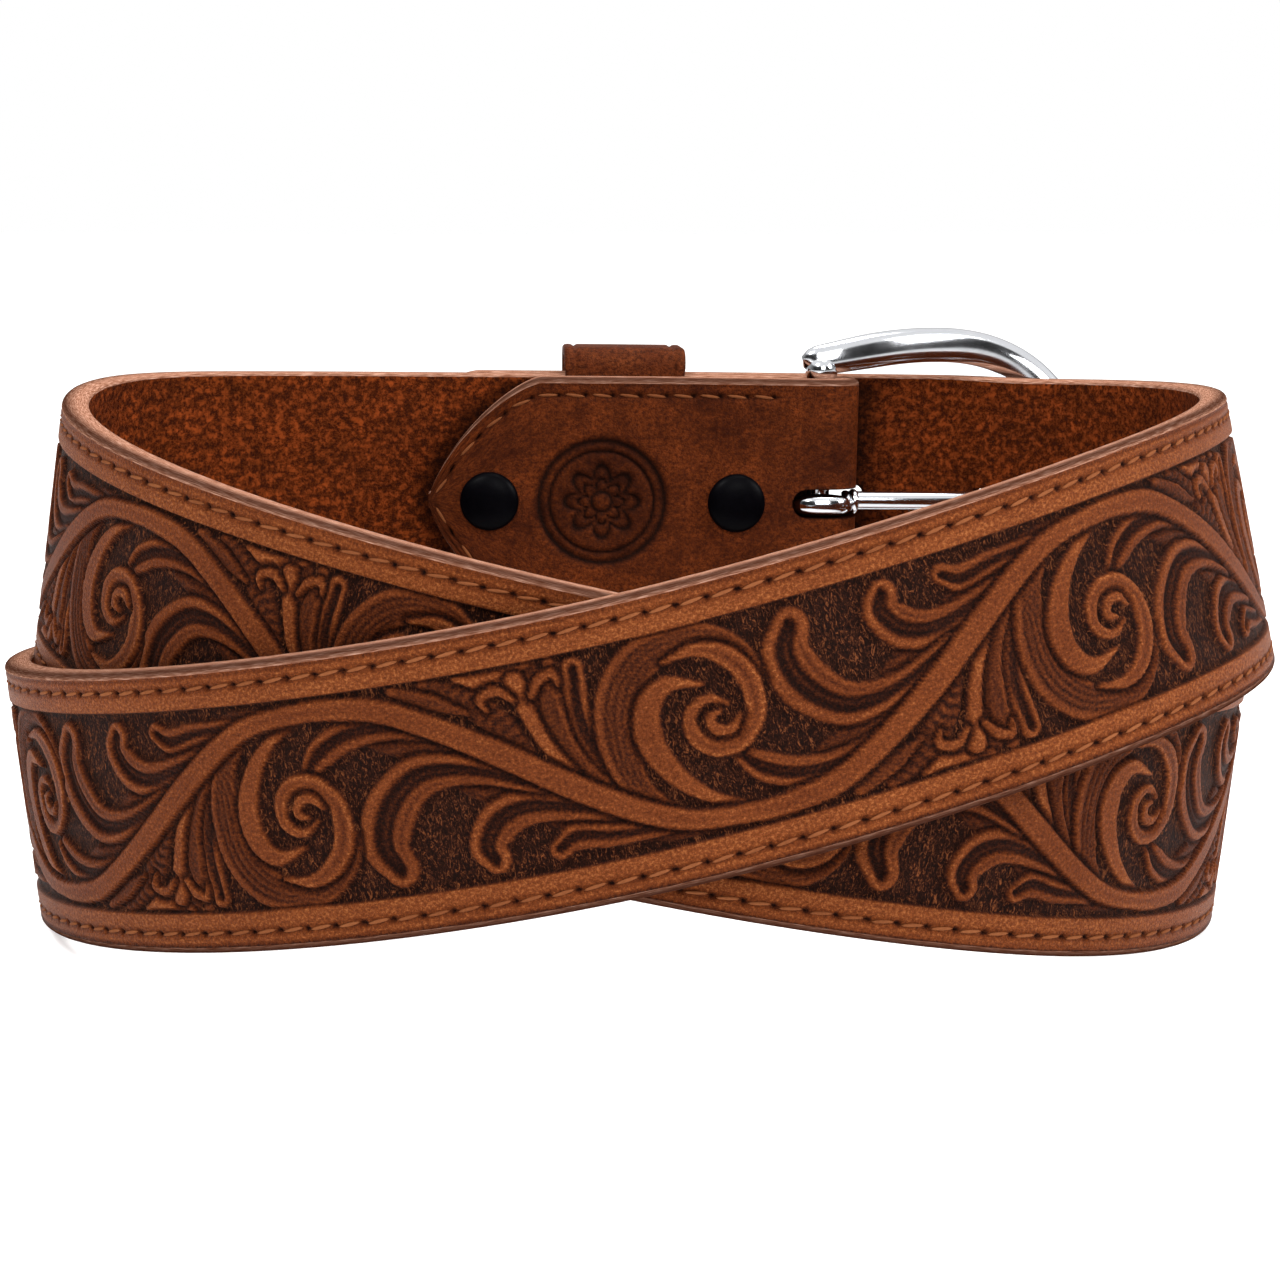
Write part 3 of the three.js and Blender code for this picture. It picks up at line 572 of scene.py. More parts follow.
def strap_piece(name, surface, distance, share, face, step, materials):
    """A closed length of strap, with its grain face carved and its own values on its points."""
    section, first, last = strap_section(step)
    columns, rows = len(section), len(distance)
    across = np.broadcast_to(section[:, 0], (rows, columns)).copy()
    out = np.broadcast_to(section[:, 1], (rows, columns)).copy()
    wide = share[:, None]
    grain = slice(first, last)
    carved = face(distance[:, None], across[:, grain], wide)
    edge_fade = np.clip((HALF_WIDTH - GRAIN_BEVEL - np.abs(across[:, grain])) / (0.3 * MM), 0, 1)
    out[:, grain] += carved.height * MM * edge_fade * np.minimum(1, wide * 3)
    tone = np.ones((rows, columns))
    tone[:, grain] = carved.tone
    bevel = len(EDGE_TONE)
    tone[:, first - bevel:first] = EDGE_TONE
    # painted shade: the lower edge is darker than the upper one
    tone[:, last:last + bevel] = EDGE_TONE[::-1] * LOWER_EDGE_SHADE_SHARE
    tone[:, last + bevel:last + bevel + 4] = 0.8 * LOWER_EDGE_SHADE_SHARE
    flesh = slice(last + bevel + 3, columns)
    # painted shadow on the flesh columns, round the tab's outline and beside the fold
    tone[:, flesh] = painted_flesh_shadow(distance[:, None], across[:, flesh])
    ground = np.zeros((rows, columns))
    ground[:, grain] = carved.ground
    place = across * wide
    p = surface.p[:, None] + surface.across[:, None] * place[..., None] + surface.out[:, None] * out[..., None]
    points = np.vstack([p.reshape(-1, 3), surface.p[0], surface.p[-1]])
    quads, caps = tube_faces(rows, columns)
    on_grain = np.zeros(columns, int)
    on_grain[:] = 1
    on_grain[first - 1:last] = 0
    on_grain[last + len(EDGE_TONE) + 3:] = 2
    on_grain[:1] = 1
    slots = np.concatenate([np.tile(on_grain, rows - 1), np.ones(len(caps), int)])
    piece = mesh_piece(name, points, quads + caps, materials, slots)
    mesh = piece.data
    for label, values in (("tone", tone), ("ground", ground)):
        layer = mesh.attributes.new(label, "FLOAT", "POINT")
        layer.data.foreach_set("value", np.append(values.ravel(), [1, 1]).astype(np.float32))
    girth = np.concatenate([[0], np.cumsum(np.linalg.norm(np.diff(section, axis=0), axis=1))])
    girth = np.append(girth, girth[-1] + np.linalg.norm(section[-1] - section[0]))
    row, column = np.meshgrid(np.arange(rows - 1), np.arange(columns), indexing="ij")
    row = row.reshape(-1, 1) + [0, 0, 1, 1]
    column = column.reshape(-1, 1) + [0, 1, 1, 0]
    uv = np.zeros((len(mesh.loops), 2), np.float32)
    uv[:row.size] = np.stack([distance[row].ravel(), girth[column].ravel()], -1) * 100
    uv[row.size:] = uv[:1]
    mesh.uv_layers.new(name="strap").data.foreach_set("uv", uv.ravel())
    sharpen_ends(piece, rows, columns)
    return piece


def turned_piece(name, place, axis, profile, segments, material):
    """A lathe form about an axis through a place: profile rows are radius and height."""
    axis = Vector(axis).normalized()
    turn = axis.to_track_quat("Z", "Y").to_matrix()
    points, faces = [], []
    for radius, height in profile:
        for k in range(segments):
            angle = 2 * math.pi * k / segments
            points.append(Vector(place) + turn @ Vector((radius * math.cos(angle), radius * math.sin(angle), height)))
    rows = len(profile)
    for r in range(rows - 1):
        for k in range(segments):
            a, b = r * segments + k, r * segments + (k + 1) % segments
            faces.append([a, b, b + segments, a + segments])
    faces.append(list(reversed(range(segments))))
    faces.append(list(range((rows - 1) * segments, rows * segments)))
    return mesh_piece(name, np.array([tuple(p) for p in points]), faces, [material])


def smoothed(profile, count):
    """A lathe profile rounded through its own rows."""
    return [tuple(row) for row in smooth_line(profile, count)]


def swept_piece(name, surface, sections, material):
    """A closed tube through places: sections is one [across, out] ring for each place."""
    rows, columns = sections.shape[:2]
    p = (surface.p[:, None] + surface.across[:, None] * sections[..., :1] + surface.out[:, None] * sections[..., 1:])
    points = np.vstack([p.reshape(-1, 3), p[0].mean(0), p[-1].mean(0)])
    quads, caps = tube_faces(rows, columns)
    return mesh_piece(name, points, quads + caps, [material])


def frames_along(points, outward):
    """Frames along a line of points, with the outward direction kept square to it."""
    ahead = np.vstack([points[1:], points[-1:]])
    behind = np.vstack([points[:1], points[:-1]])
    run = unit(ahead - behind)
    out = unit(outward - (outward * run).sum(1, keepdims=True) * run)
    return Surface(points, run, np.cross(out, run), out)


def round_section(width, depth, sides, power=2.0):
    angle = 2 * np.pi * np.arange(sides) / sides
    c, s = np.cos(angle), np.sin(angle)
    x = np.sign(c) * np.abs(c) ** (2 / power) * width / 2
    y = np.sign(s) * np.abs(s) ** (2 / power) * depth / 2
    return np.stack([x, y], -1)


def join(name, pieces):
    """Joins finished meshes into one piece."""
    bpy.ops.object.select_all(action="DESELECT")
    for piece in pieces:
        piece.select_set(True)
    bpy.context.view_layer.objects.active = pieces[0]
    bpy.ops.object.join()
    pieces[0].name = pieces[0].data.name = name
    return pieces[0]


def cut(piece, cutter):
    """Takes one closed form out of another and removes it."""
    modifier = piece.modifiers.new("cut", "BOOLEAN")
    modifier.operation = "DIFFERENCE"
    modifier.solver = "EXACT"
    modifier.object = cutter
    evaluated = piece.evaluated_get(bpy.context.evaluated_depsgraph_get())
    mesh = bpy.data.meshes.new_from_object(evaluated)
    piece.modifiers.clear()
    old = piece.data
    piece.data = mesh
    bpy.data.meshes.remove(old)
    bpy.data.objects.remove(cutter)


# Materials
def srgb(red, green, blue):
    def linear(value):
        value /= 255
        return value / 12.92 if value <= 0.04045 else ((value + 0.055) / 1.055) ** 2.4
    return (linear(red), linear(green), linear(blue), 1.0)


class Nodes:
    """Short calls for building one node tree."""

    def __init__(self, tree):
        self.tree = tree

    def new(self, kind, inputs=None, **settings):
        node = self.tree.nodes.new(kind)
        for key, value in settings.items():
            setattr(node, key, value)
        for key, value in (inputs or {}).items():
            self.set(node.inputs[key], value)
        return node

    def set(self, socket, value):
        if isinstance(value, bpy.types.NodeSocket):
            self.tree.links.new(value, socket)
        else:
            socket.default_value = value

    def math(self, operation, a, b=0.5, c=0.0):
        return self.new("ShaderNodeMath", {0: a, 1: b, 2: c}, operation=operation).outputs[0]

    def mix(self, factor, a, b, mode="MIX"):
        node = self.new("ShaderNodeMix", data_type="RGBA", blend_type=mode)
        self.set(node.inputs["Factor"], factor)
        self.set(node.inputs[6], a)
        self.set(node.inputs[7], b)
        return node.outputs[2]

    def ramp(self, factor, stops):
        node = self.new("ShaderNodeValToRGB", {"Fac": factor})
        elements = node.color_ramp.elements
        while len(elements) < len(stops):
            elements.new(0.5)
        for element, (at, color) in zip(elements, stops):
            element.position = at
            element.color = color
        return node.outputs["Color"]

    def noise(self, vector, scale, detail=3.0, roughness=0.55, distortion=0.0):
        return self.new("ShaderNodeTexNoise", {"Vector": vector, "Scale": scale, "Detail": detail,
                                                "Roughness": roughness, "Distortion": distortion}).outputs["Fac"]

    def stretched(self, vector, scale):
        return self.new("ShaderNodeMapping", {"Vector": vector, "Scale": scale}).outputs["Vector"]


def node_group(name, inputs, outputs, build):
    """A shader node group with named sockets, filled by build."""
    tree = bpy.data.node_groups.new(name, "ShaderNodeTree")
    for label, kind, value in inputs:
        socket = tree.interface.new_socket(label, in_out="INPUT", socket_type=kind)
        if value is not None:
            socket.default_value = value
    for label, kind in outputs:
        tree.interface.new_socket(label, in_out="OUTPUT", socket_type=kind)
    nodes = Nodes(tree)
    entry = nodes.new("NodeGroupInput")
    end = nodes.new("NodeGroupOutput")
    build(nodes, entry.outputs, end.inputs)
    return tree


def build_grain(nodes, given, put):
    """Fine pebbled leather grain: cells broken up by noise."""
    warp = nodes.noise(given["Vector"], 60.0, 2.0)
    moved = nodes.new("ShaderNodeVectorMath", {0: given["Vector"], 1: (0.012, 0.012, 0.0)}, operation="ADD")
    nodes.set(moved.inputs[1], nodes.new("ShaderNodeVectorMath", {0: (0.02, 0.02, 0.0), "Scale": warp},
                                         operation="SCALE").outputs[0])
    cells = nodes.new("ShaderNodeTexVoronoi", {"Vector": moved.outputs[0], "Scale": given["Scale"]},
                      feature="DISTANCE_TO_EDGE")
    pebble = nodes.new("ShaderNodeMapRange", {"Value": cells.outputs["Distance"], "From Max": 0.22})
    fine = nodes.noise(given["Vector"], 190.0, 3.0, 0.65)
    nodes.set(put["Height"], nodes.math("ADD", nodes.math("MULTIPLY", pebble.outputs[0], 0.6),
                                        nodes.math("MULTIPLY", fine, 0.7)))
    nodes.set(put["Fine"], fine)


def build_mottle(nodes, given, put):
    """Uneven dye: broad clouds and small blotches, from 0 to 1."""
    broad = nodes.noise(given["Vector"], given["Broad"], 3.0, 0.6)
    small = nodes.noise(given["Vector"], given["Small"], 4.0, 0.7)
    both = nodes.math("ADD", nodes.math("MULTIPLY", broad, 0.55), nodes.math("MULTIPLY", small, 0.45))
    spread = nodes.new("ShaderNodeMapRange", {"Value": both, "From Min": 0.36, "From Max": 0.64})
    nodes.set(put["Value"], spread.outputs[0])


GRAIN = node_group("leather_grain",
                   [("Vector", "NodeSocketVector", None), ("Scale", "NodeSocketFloat", 18.0)],
                   [("Height", "NodeSocketFloat"), ("Fine", "NodeSocketFloat")], build_grain)
MOTTLE = node_group("uneven_dye",
                    [("Vector", "NodeSocketVector", None), ("Broad", "NodeSocketFloat", 0.8),
                     ("Small", "NodeSocketFloat", 6.0)],
                    [("Value", "NodeSocketFloat")], build_mottle)


def new_material(name, roughness=0.5, specular=0.5):
    material = bpy.data.materials.new(name)
    material.use_nodes = True
    material.node_tree.nodes.clear()
    nodes = Nodes(material.node_tree)
    shader = nodes.new("ShaderNodeBsdfPrincipled", {"Roughness": roughness, "Specular IOR Level": specular})
    out = nodes.new("ShaderNodeOutputMaterial")
    nodes.set(out.inputs["Surface"], shader.outputs[0])
    return material, nodes, shader


def use_group(nodes, tree, inputs):
    group = nodes.new("ShaderNodeGroup", node_tree=tree)
    for key, value in inputs.items():
        nodes.set(group.inputs[key], value)
    return group.outputs


def bump(nodes, shader, height, distance, strength=1.0):
    node = nodes.new("ShaderNodeBump", {"Height": height, "Distance": distance, "Strength": strength})
    nodes.set(shader.inputs["Normal"], node.outputs["Normal"])


def make_tooled_leather():
    """Antiqued leather: caramel where it is high, near black where it is matted down."""
    material, nodes, shader = new_material("tooled_leather", 0.5, 0.05)
    uv = nodes.new("ShaderNodeUVMap", uv_map="strap").outputs[0]
    tone = nodes.new("ShaderNodeAttribute", attribute_name="tone").outputs["Fac"]
    ground = nodes.new("ShaderNodeAttribute", attribute_name="ground").outputs["Fac"]
    grain = use_group(nodes, GRAIN, {"Vector": uv, "Scale": 17.0})
    dye = use_group(nodes, MOTTLE, {"Vector": uv, "Broad": 1.1, "Small": 9.0})["Value"]
    speckle = nodes.noise(uv, 22.0, 4.0, 0.8)
    stray = nodes.math("MULTIPLY", nodes.math("SUBTRACT", speckle, 0.5), 1.5)
    worn = nodes.math("ADD", nodes.math("MULTIPLY", tone, 0.8), stray)
    color = nodes.ramp(worn, [(0.0, srgb(20, 7, 4)), (0.2, srgb(40, 16, 7)), (0.44, srgb(74, 33, 12)),
                              (0.64, srgb(98, 47, 19)), (0.82, srgb(119, 61, 27)), (1.0, srgb(158, 95, 51))])
    darker = nodes.mix(1.0, color, (0.74, 0.68, 0.64, 1), "MULTIPLY")
    color = nodes.mix(dye, darker, color)
    pits = nodes.noise(nodes.stretched(uv, (1.0, 2.2, 1.0)), 26.0, 4.0, 0.7)
    hairs = nodes.noise(nodes.stretched(uv, (2.0, 0.9, 1.0)), 10.0, 5.0, 0.8, 1.6)
    matt_shade = nodes.ramp(hairs, [(0.45, srgb(18, 6, 3)), (0.54, srgb(44, 18, 9)), (0.64, srgb(128, 72, 40))])
    color = nodes.mix(nodes.math("MULTIPLY", ground, 0.85), color, matt_shade)
    nodes.set(shader.inputs["Base Color"], color)
    rough = nodes.new("ShaderNodeMapRange", {"Value": tone, "To Min": 0.66, "To Max": 0.47})
    nodes.set(shader.inputs["Roughness"], rough.outputs[0])
    matting = nodes.math("MULTIPLY", nodes.math("ADD", nodes.math("MULTIPLY", hairs, 2.4), pits), ground)
    smooth = nodes.math("MULTIPLY", grain["Height"], nodes.math("SUBTRACT", 1.15, ground))
    bump(nodes, shader, nodes.math("ADD", matting, smooth), 0.16 * MM)
    return material


def make_edge_leather():
    """Burnished cut edge: smooth, a little lighter, with fibres along it, darkened by the tone attribute: darkest on
    the grain-side bevel, and the lower edge as painted shade.
    """
    material, nodes, shader = new_material("burnished_edge", 0.6, 0.0)
    uv = nodes.new("ShaderNodeUVMap", uv_map="strap").outputs[0]
    fibres = nodes.noise(nodes.stretched(uv, (0.5, 9.0, 1.0)), 9.0, 4.0, 0.6)
    dye = use_group(nodes, MOTTLE, {"Vector": uv, "Broad": 1.6, "Small": 14.0})["Value"]
    color = nodes.ramp(fibres, [(0.34, srgb(104, 62, 44)), (0.5, srgb(150, 104, 82)), (0.64, srgb(200, 156, 134))])
    color = nodes.mix(nodes.math("MULTIPLY", dye, 0.2), color, srgb(84, 46, 30))
    # tone darkens the bevel, and the lower edge as painted shade
    tone = nodes.new("ShaderNodeAttribute", attribute_name="tone").outputs["Fac"]
    color = nodes.mix(tone, srgb(40, 15, 7), color)
    nodes.set(shader.inputs["Base Color"], color)
    bump(nodes, shader, fibres, 0.1 * MM)
    return material


def make_flesh_leather():
    """Inner flesh side: reddish brown nap, blotched darker, and darkened by the painted shadow round the tab and
    beside the fold.
    """
    material, nodes, shader = new_material("flesh_side", 0.9, 0.04)
    uv = nodes.new("ShaderNodeUVMap", uv_map="strap").outputs[0]
    dye = use_group(nodes, MOTTLE, {"Vector": uv, "Broad": 1.4, "Small": 11.0})["Value"]
    nap = nodes.noise(uv, 24.0, 5.0, 0.75)
    specks = nodes.ramp(nodes.noise(uv, 8.0, 7.0, 0.85), [(0.43, (0, 0, 0, 1)), (0.54, (1, 1, 1, 1))])
    color = nodes.mix(dye, srgb(60, 20, 5), srgb(138, 58, 20))
    color = nodes.mix(nodes.math("MULTIPLY", nap, 0.5), color, srgb(152, 74, 30))
    color = nodes.mix(specks, nodes.mix(0.88, color, srgb(34, 10, 4)), color)
    # tone carries the painted shadow round the tab and beside the fold
    tone = nodes.new("ShaderNodeAttribute", attribute_name="tone").outputs["Fac"]
    nodes.set(shader.inputs["Base Color"], nodes.mix(tone, srgb(10, 3, 1), color))
    bump(nodes, shader, nodes.math("ADD", nap, specks), 0.14 * MM)
    return material


def make_plain_leather(name, dark, light, by_uv):
    """Smooth oiled leather with fine grain, for the tab and the keeper."""
    material, nodes, shader = new_material(name, 0.55, 0.03)
    if by_uv:
        place = nodes.new("ShaderNodeUVMap", uv_map="strap").outputs[0]
        tone = nodes.new("ShaderNodeAttribute", attribute_name="tone").outputs["Fac"]
    else:
        place = nodes.stretched(nodes.new("ShaderNodeTexCoord").outputs["Object"], (100.0, 100.0, 100.0))
        tone = 1.0
    grain = use_group(nodes, GRAIN, {"Vector": place, "Scale": 20.0})
    dye = use_group(nodes, MOTTLE, {"Vector": place, "Broad": 0.9, "Small": 5.0})["Value"]
    color = nodes.mix(dye, dark, light)
    scuffs = nodes.ramp(nodes.noise(place, 16.0, 6.0, 0.8), [(0.4, (0.85, 0.85, 0.85, 1)), (0.6, (0, 0, 0, 1))])
    color = nodes.mix(scuffs, color, srgb(40, 14, 5))
    nodes.set(shader.inputs["Base Color"], nodes.mix(tone, srgb(18, 6, 3), color))
    rough = nodes.new("ShaderNodeMapRange", {"Value": dye, "To Min": 0.6, "To Max": 0.42})
    nodes.set(shader.inputs["Roughness"], rough.outputs[0])
    bump(nodes, shader, grain["Height"], 0.09 * MM)
    return material


def make_nickel():
    material, nodes, shader = new_material("polished_nickel", 0.1, 0.5)
    place = nodes.new("ShaderNodeTexCoord").outputs["Object"]
    haze = nodes.noise(place, 320.0, 4.0)
    rough = nodes.new("ShaderNodeMapRange", {"Value": haze, "To Min": 0.06, "To Max": 0.2})
    shader.inputs["Metallic"].default_value = 1.0
    nodes.set(shader.inputs["Base Color"], nodes.mix(haze, srgb(226, 227, 230), srgb(205, 207, 212)))
    nodes.set(shader.inputs["Roughness"], rough.outputs[0])
    bump(nodes, shader, nodes.noise(place, 900.0, 2.0), 0.004 * MM)
    return material


def make_black_enamel():
    material, nodes, shader = new_material("black_enamel", 0.45, 0.03)
    place = nodes.new("ShaderNodeTexCoord").outputs["Object"]
    wear = nodes.noise(place, 700.0, 4.0, 0.7)
    nodes.set(shader.inputs["Base Color"], nodes.mix(wear, srgb(1, 1, 2), srgb(4, 3, 6)))
    rough = nodes.new("ShaderNodeMapRange", {"Value": wear, "To Min": 0.28, "To Max": 0.5})
    nodes.set(shader.inputs["Roughness"], rough.outputs[0])
    bump(nodes, shader, wear, 0.02 * MM)
    return material


def make_thread():
    material, nodes, shader = new_material("waxed_thread", 0.7, 0.03)
    place = nodes.new("ShaderNodeTexCoord").outputs["Object"]
    twist = nodes.noise(place, 2600.0, 3.0, 0.6)
    broad = nodes.noise(place, 60.0, 2.0)
    color = nodes.mix(broad, srgb(104, 56, 30), srgb(148, 92, 56))
    nodes.set(shader.inputs["Base Color"], nodes.mix(twist, nodes.mix(1.0, color, (0.55, 0.5, 0.5, 1), "MULTIPLY"),
                                                      color))
    bump(nodes, shader, twist, 0.08 * MM)
    return material


TOOLED = make_tooled_leather()
EDGE = make_edge_leather()
FLESH = make_flesh_leather()
TAB_LEATHER = make_plain_leather("tab_leather", srgb(52, 18, 5), srgb(116, 53, 20), True)
KEEPER_LEATHER = make_plain_leather("keeper_leather", srgb(82, 36, 15), srgb(112, 56, 26), False)
NICKEL = make_nickel()
ENAMEL = make_black_enamel()
THREAD = make_thread()


# Strap lengths between turns, each finer where the photograph's side shows it
Length = namedtuple("Length", "name start end step")
HIDDEN_CROSSING = distance_at(0) - 2 * MM
FOLD_RUN = 12.0 * MM
LENGTHS_OF_STRAP = [
    Length("strap_back_upper", FOLD_RUN, distance_at(-0.25), 0.5 * MM),
    Length("strap_inner_left", distance_at(-0.25), HIDDEN_CROSSING, 0.32 * MM),
    Length("strap_inner_right", HIDDEN_CROSSING, distance_at(0.25), 0.32 * MM),
    Length("strap_back_lower", distance_at(0.25), distance_at(0.75), 0.5 * MM),
    Length("strap_outer_front", distance_at(0.75), distance_at(1.25), 0.38 * MM),
    Length("strap_billet", distance_at(1.25), TIP_AT, 0.5 * MM),
]


def slot_cutter(surface, length, height, depth):
    """A long hole's form through the strap at one place, with round ends."""
    r = height / 2
    half = max(0.0, length / 2 - r)
    steps = 10
    outline = [(half + r * math.cos(a), r * math.sin(a)) for a in np.linspace(-math.pi / 2, math.pi / 2, steps)]
    outline += [(-half + r * math.cos(a), r * math.sin(a)) for a in np.linspace(math.pi / 2, 1.5 * math.pi, steps)]
    rings = []
    for level in (-depth, depth):
        rings.append([surface.p + surface.run * x + surface.across * y + surface.out * level for x, y in outline])
    points = np.array(rings).reshape(-1, 3)
    count = len(outline)
    faces = [[k, (k + 1) % count, count + (k + 1) % count, count + k] for k in range(count)]
    faces += [list(reversed(range(count))), list(range(count, 2 * count))]
    return mesh_piece("cutter", points, faces, [EDGE], smooth=False)


def make_strap_lengths():
    pieces = []
    for part in LENGTHS_OF_STRAP:
        rows = round((part.end - part.start) / part.step)
        distance = np.linspace(part.start, part.end, rows)
        if part.end == TIP_AT:
            plain = distance[distance < TIP_AT - BILLET_POINT_LENGTH]
            tip = TIP_AT - BILLET_POINT_LENGTH * np.linspace(1, 0, 90) ** 1.6
            distance = np.concatenate([plain, tip])
        share = point_half_width(TIP_AT - distance, BILLET_POINT_LENGTH) / HALF_WIDTH
        piece = strap_piece(part.name, strap_surface(distance), distance, share, tooled_face, part.step,
                            [TOOLED, EDGE, FLESH])
        pieces.append(piece)
    billet = pieces[-1]
    hole_reach = FRAME_REACH * HOLE_AT_REACH
    for i in range(-HOLES_EACH_WAY, HOLES_EACH_WAY + 1):
        at = BILLET_AT_BAR + i * HOLE_PITCH - hole_reach
        surface = strap_surface(np.array([at]))
        place = Surface(*(value[0] for value in surface))
        cut(billet, slot_cutter(place, HOLE_LENGTH, HOLE_HEIGHT, 2 * STRAP_THICKNESS))
    return pieces


def make_tab():
    """The folded end: the tab, the bend round the bar and the first stretch of the strap."""
    step = 0.34 * MM
    back = TAB_LENGTH - TAB_POINT_LENGTH * np.linspace(0, 1, 70) ** 1.6
    flat = np.linspace(TAB_LENGTH - TAB_POINT_LENGTH, 0, round((TAB_LENGTH - TAB_POINT_LENGTH) / step))[1:]
    tab_distance = np.concatenate([back, flat])
    tab = tab_surface(tab_distance)
    bar = Surface(*(value[0] for value in frame_at(np.array([BAR_TURN]))))
    angles = np.linspace(0, math.pi, 38)[1:-1]
    out = -bar.out * np.cos(angles)[:, None] - bar.run * np.sin(angles)[:, None]
    bend_p = bar.p - bar.out * FOLD_RADIUS + out * FOLD_RADIUS
    across = np.broadcast_to(bar.across, out.shape)
    bend = Surface(bend_p, np.cross(across, out), across, out)
    ahead = np.linspace(0, FOLD_RUN, round(FOLD_RUN / step))
    front = strap_surface(ahead)
    surface = Surface(*(np.vstack(parts) for parts in zip(tab, bend, front)))
    # one running length over the whole piece: tab first, then the bend, then the strap
    bend_length = np.linspace(0, math.pi * FOLD_RADIUS, len(angles) + 2)[1:-1]
    start = -(TAB_LENGTH + math.pi * FOLD_RADIUS)
    distance = np.concatenate([start + (TAB_LENGTH - tab_distance), bend_length - math.pi * FOLD_RADIUS, ahead])
    share = np.concatenate([point_half_width(TAB_LENGTH - tab_distance, TAB_POINT_LENGTH) / HALF_WIDTH,
                            np.ones(len(angles) + len(ahead))])
    on_tab = len(tab_distance)

    def face(along, place, wide):
        from_bar = -along - math.pi * FOLD_RADIUS
        plain = tab_face(np.maximum(from_bar, 0), place, wide)
        tooled = tooled_face(along, place, wide)
        lead = (along > 0) & (np.abs(place) < HALF_WIDTH)
        shown = [np.where(lead, b, a) for a, b in zip(plain, tooled)]
        return Face(*shown)

    piece = strap_piece("strap_tab", surface, distance, share, face, step, [TAB_LEATHER, EDGE, FLESH])
    slot_middle = (SLOT_ON_TAB - SLOT_LENGTH - FOLD_RADIUS) / 2
    slot_length = SLOT_ON_TAB + SLOT_LENGTH + FOLD_RADIUS
    middle = Surface(bar.p - bar.out * FOLD_RADIUS + bar.run * slot_middle, bar.run, bar.across, bar.out)
    cut(piece, slot_cutter(middle, slot_length, SLOT_HEIGHT, 2 * FOLD_RADIUS + STRAP_THICKNESS))
    return piece


# Stitching
def set_input(modifier, tree, label, value):
    for item in tree.interface.items_tree:
        if item.item_type == "SOCKET" and item.in_out == "INPUT" and item.name == label:
            modifier[item.identifier] = value


def stitch_tree():
    """Puts one thread stitch on every point, laid along its run and out of the leather."""
    tree = bpy.data.node_groups.new("stitch_row", "GeometryNodeTree")
    sockets = [("Geometry", "NodeSocketGeometry"), ("Stitch Length", "NodeSocketFloat"),
               ("Stitch Width", "NodeSocketFloat"), ("Stitch Height", "NodeSocketFloat"),
               ("Thread", "NodeSocketMaterial")]
    for label, kind in sockets:
        tree.interface.new_socket(label, in_out="INPUT", socket_type=kind)
    tree.interface.new_socket("Geometry", in_out="OUTPUT", socket_type="NodeSocketGeometry")
    nodes = Nodes(tree)
    given = nodes.new("NodeGroupInput").outputs
    end = nodes.new("NodeGroupOutput")
    ball = nodes.new("GeometryNodeMeshUVSphere", {"Segments": 8, "Rings": 6, "Radius": 0.5})
    size = nodes.new("ShaderNodeCombineXYZ", {"X": given["Stitch Length"], "Y": given["Stitch Width"],
                                              "Z": given["Stitch Height"]})
    shaped = nodes.new("GeometryNodeTransform", {"Geometry": ball.outputs["Mesh"], "Scale": size.outputs[0]})
    run = nodes.new("GeometryNodeInputNamedAttribute", {"Name": "run"}, data_type="FLOAT_VECTOR")
    out = nodes.new("GeometryNodeInputNamedAttribute", {"Name": "out"}, data_type="FLOAT_VECTOR")
    turn = nodes.new("FunctionNodeAxesToRotation", {"Primary Axis": run.outputs[0],
                                                    "Secondary Axis": out.outputs[0]},
                     primary_axis="X", secondary_axis="Z")
    rows = nodes.new("GeometryNodeInstanceOnPoints", {"Points": given["Geometry"],
                                                      "Instance": shaped.outputs[0], "Rotation": turn.outputs[0]})
    real = nodes.new("GeometryNodeRealizeInstances", {0: rows.outputs[0]})
    smooth = nodes.new("GeometryNodeSetShadeSmooth", {0: real.outputs[0]})
    dressed = nodes.new("GeometryNodeSetMaterial", {"Geometry": smooth.outputs[0], "Material": given["Thread"]})
    nodes.set(end.inputs[0], dressed.outputs[0])
    return tree


def make_stitches(name, places, run, out, tree):
    mesh = bpy.data.meshes.new(name)
    mesh.from_pydata(places.tolist(), [], [])
    for label, values in (("run", run), ("out", out)):
        layer = mesh.attributes.new(label, "FLOAT_VECTOR", "POINT")
        layer.data.foreach_set("vector", np.ascontiguousarray(values, np.float32).ravel())
    piece = bpy.data.objects.new(name, mesh)
    bpy.context.scene.collection.objects.link(piece)
    modifier = piece.modifiers.new("stitches", "NODES")
    modifier.node_group = tree
    set_input(modifier, tree, "Stitch Length", STITCH_LENGTH)
    set_input(modifier, tree, "Stitch Width", STITCH_WIDTH)
    set_input(modifier, tree, "Stitch Height", STITCH_WIDTH * 0.8)
    set_input(modifier, tree, "Thread", THREAD)
    evaluated = piece.evaluated_get(bpy.context.evaluated_depsgraph_get())
    piece.data = bpy.data.meshes.new_from_object(evaluated)
    piece.modifiers.clear()
    return piece


def stitch_rows(surface, share, level):
    """Places and directions of stitches along both borders of a stretch of strap."""
    places, runs, outs = [], [], []
    for side in (-1, 1):
        across = side * (HALF_WIDTH * share - STITCH_IN)
        keep = across * side > 1.5 * MM
        p = surface.p + surface.across * across[:, None] + surface.out * level
        run = np.gradient(p, axis=0)
        run = unit(run) + surface.across * 0.12
        places.append(p[keep])
        runs.append(unit(run)[keep])
        outs.append(surface.out[keep])
    return np.vstack(places), np.vstack(runs), np.vstack(outs)


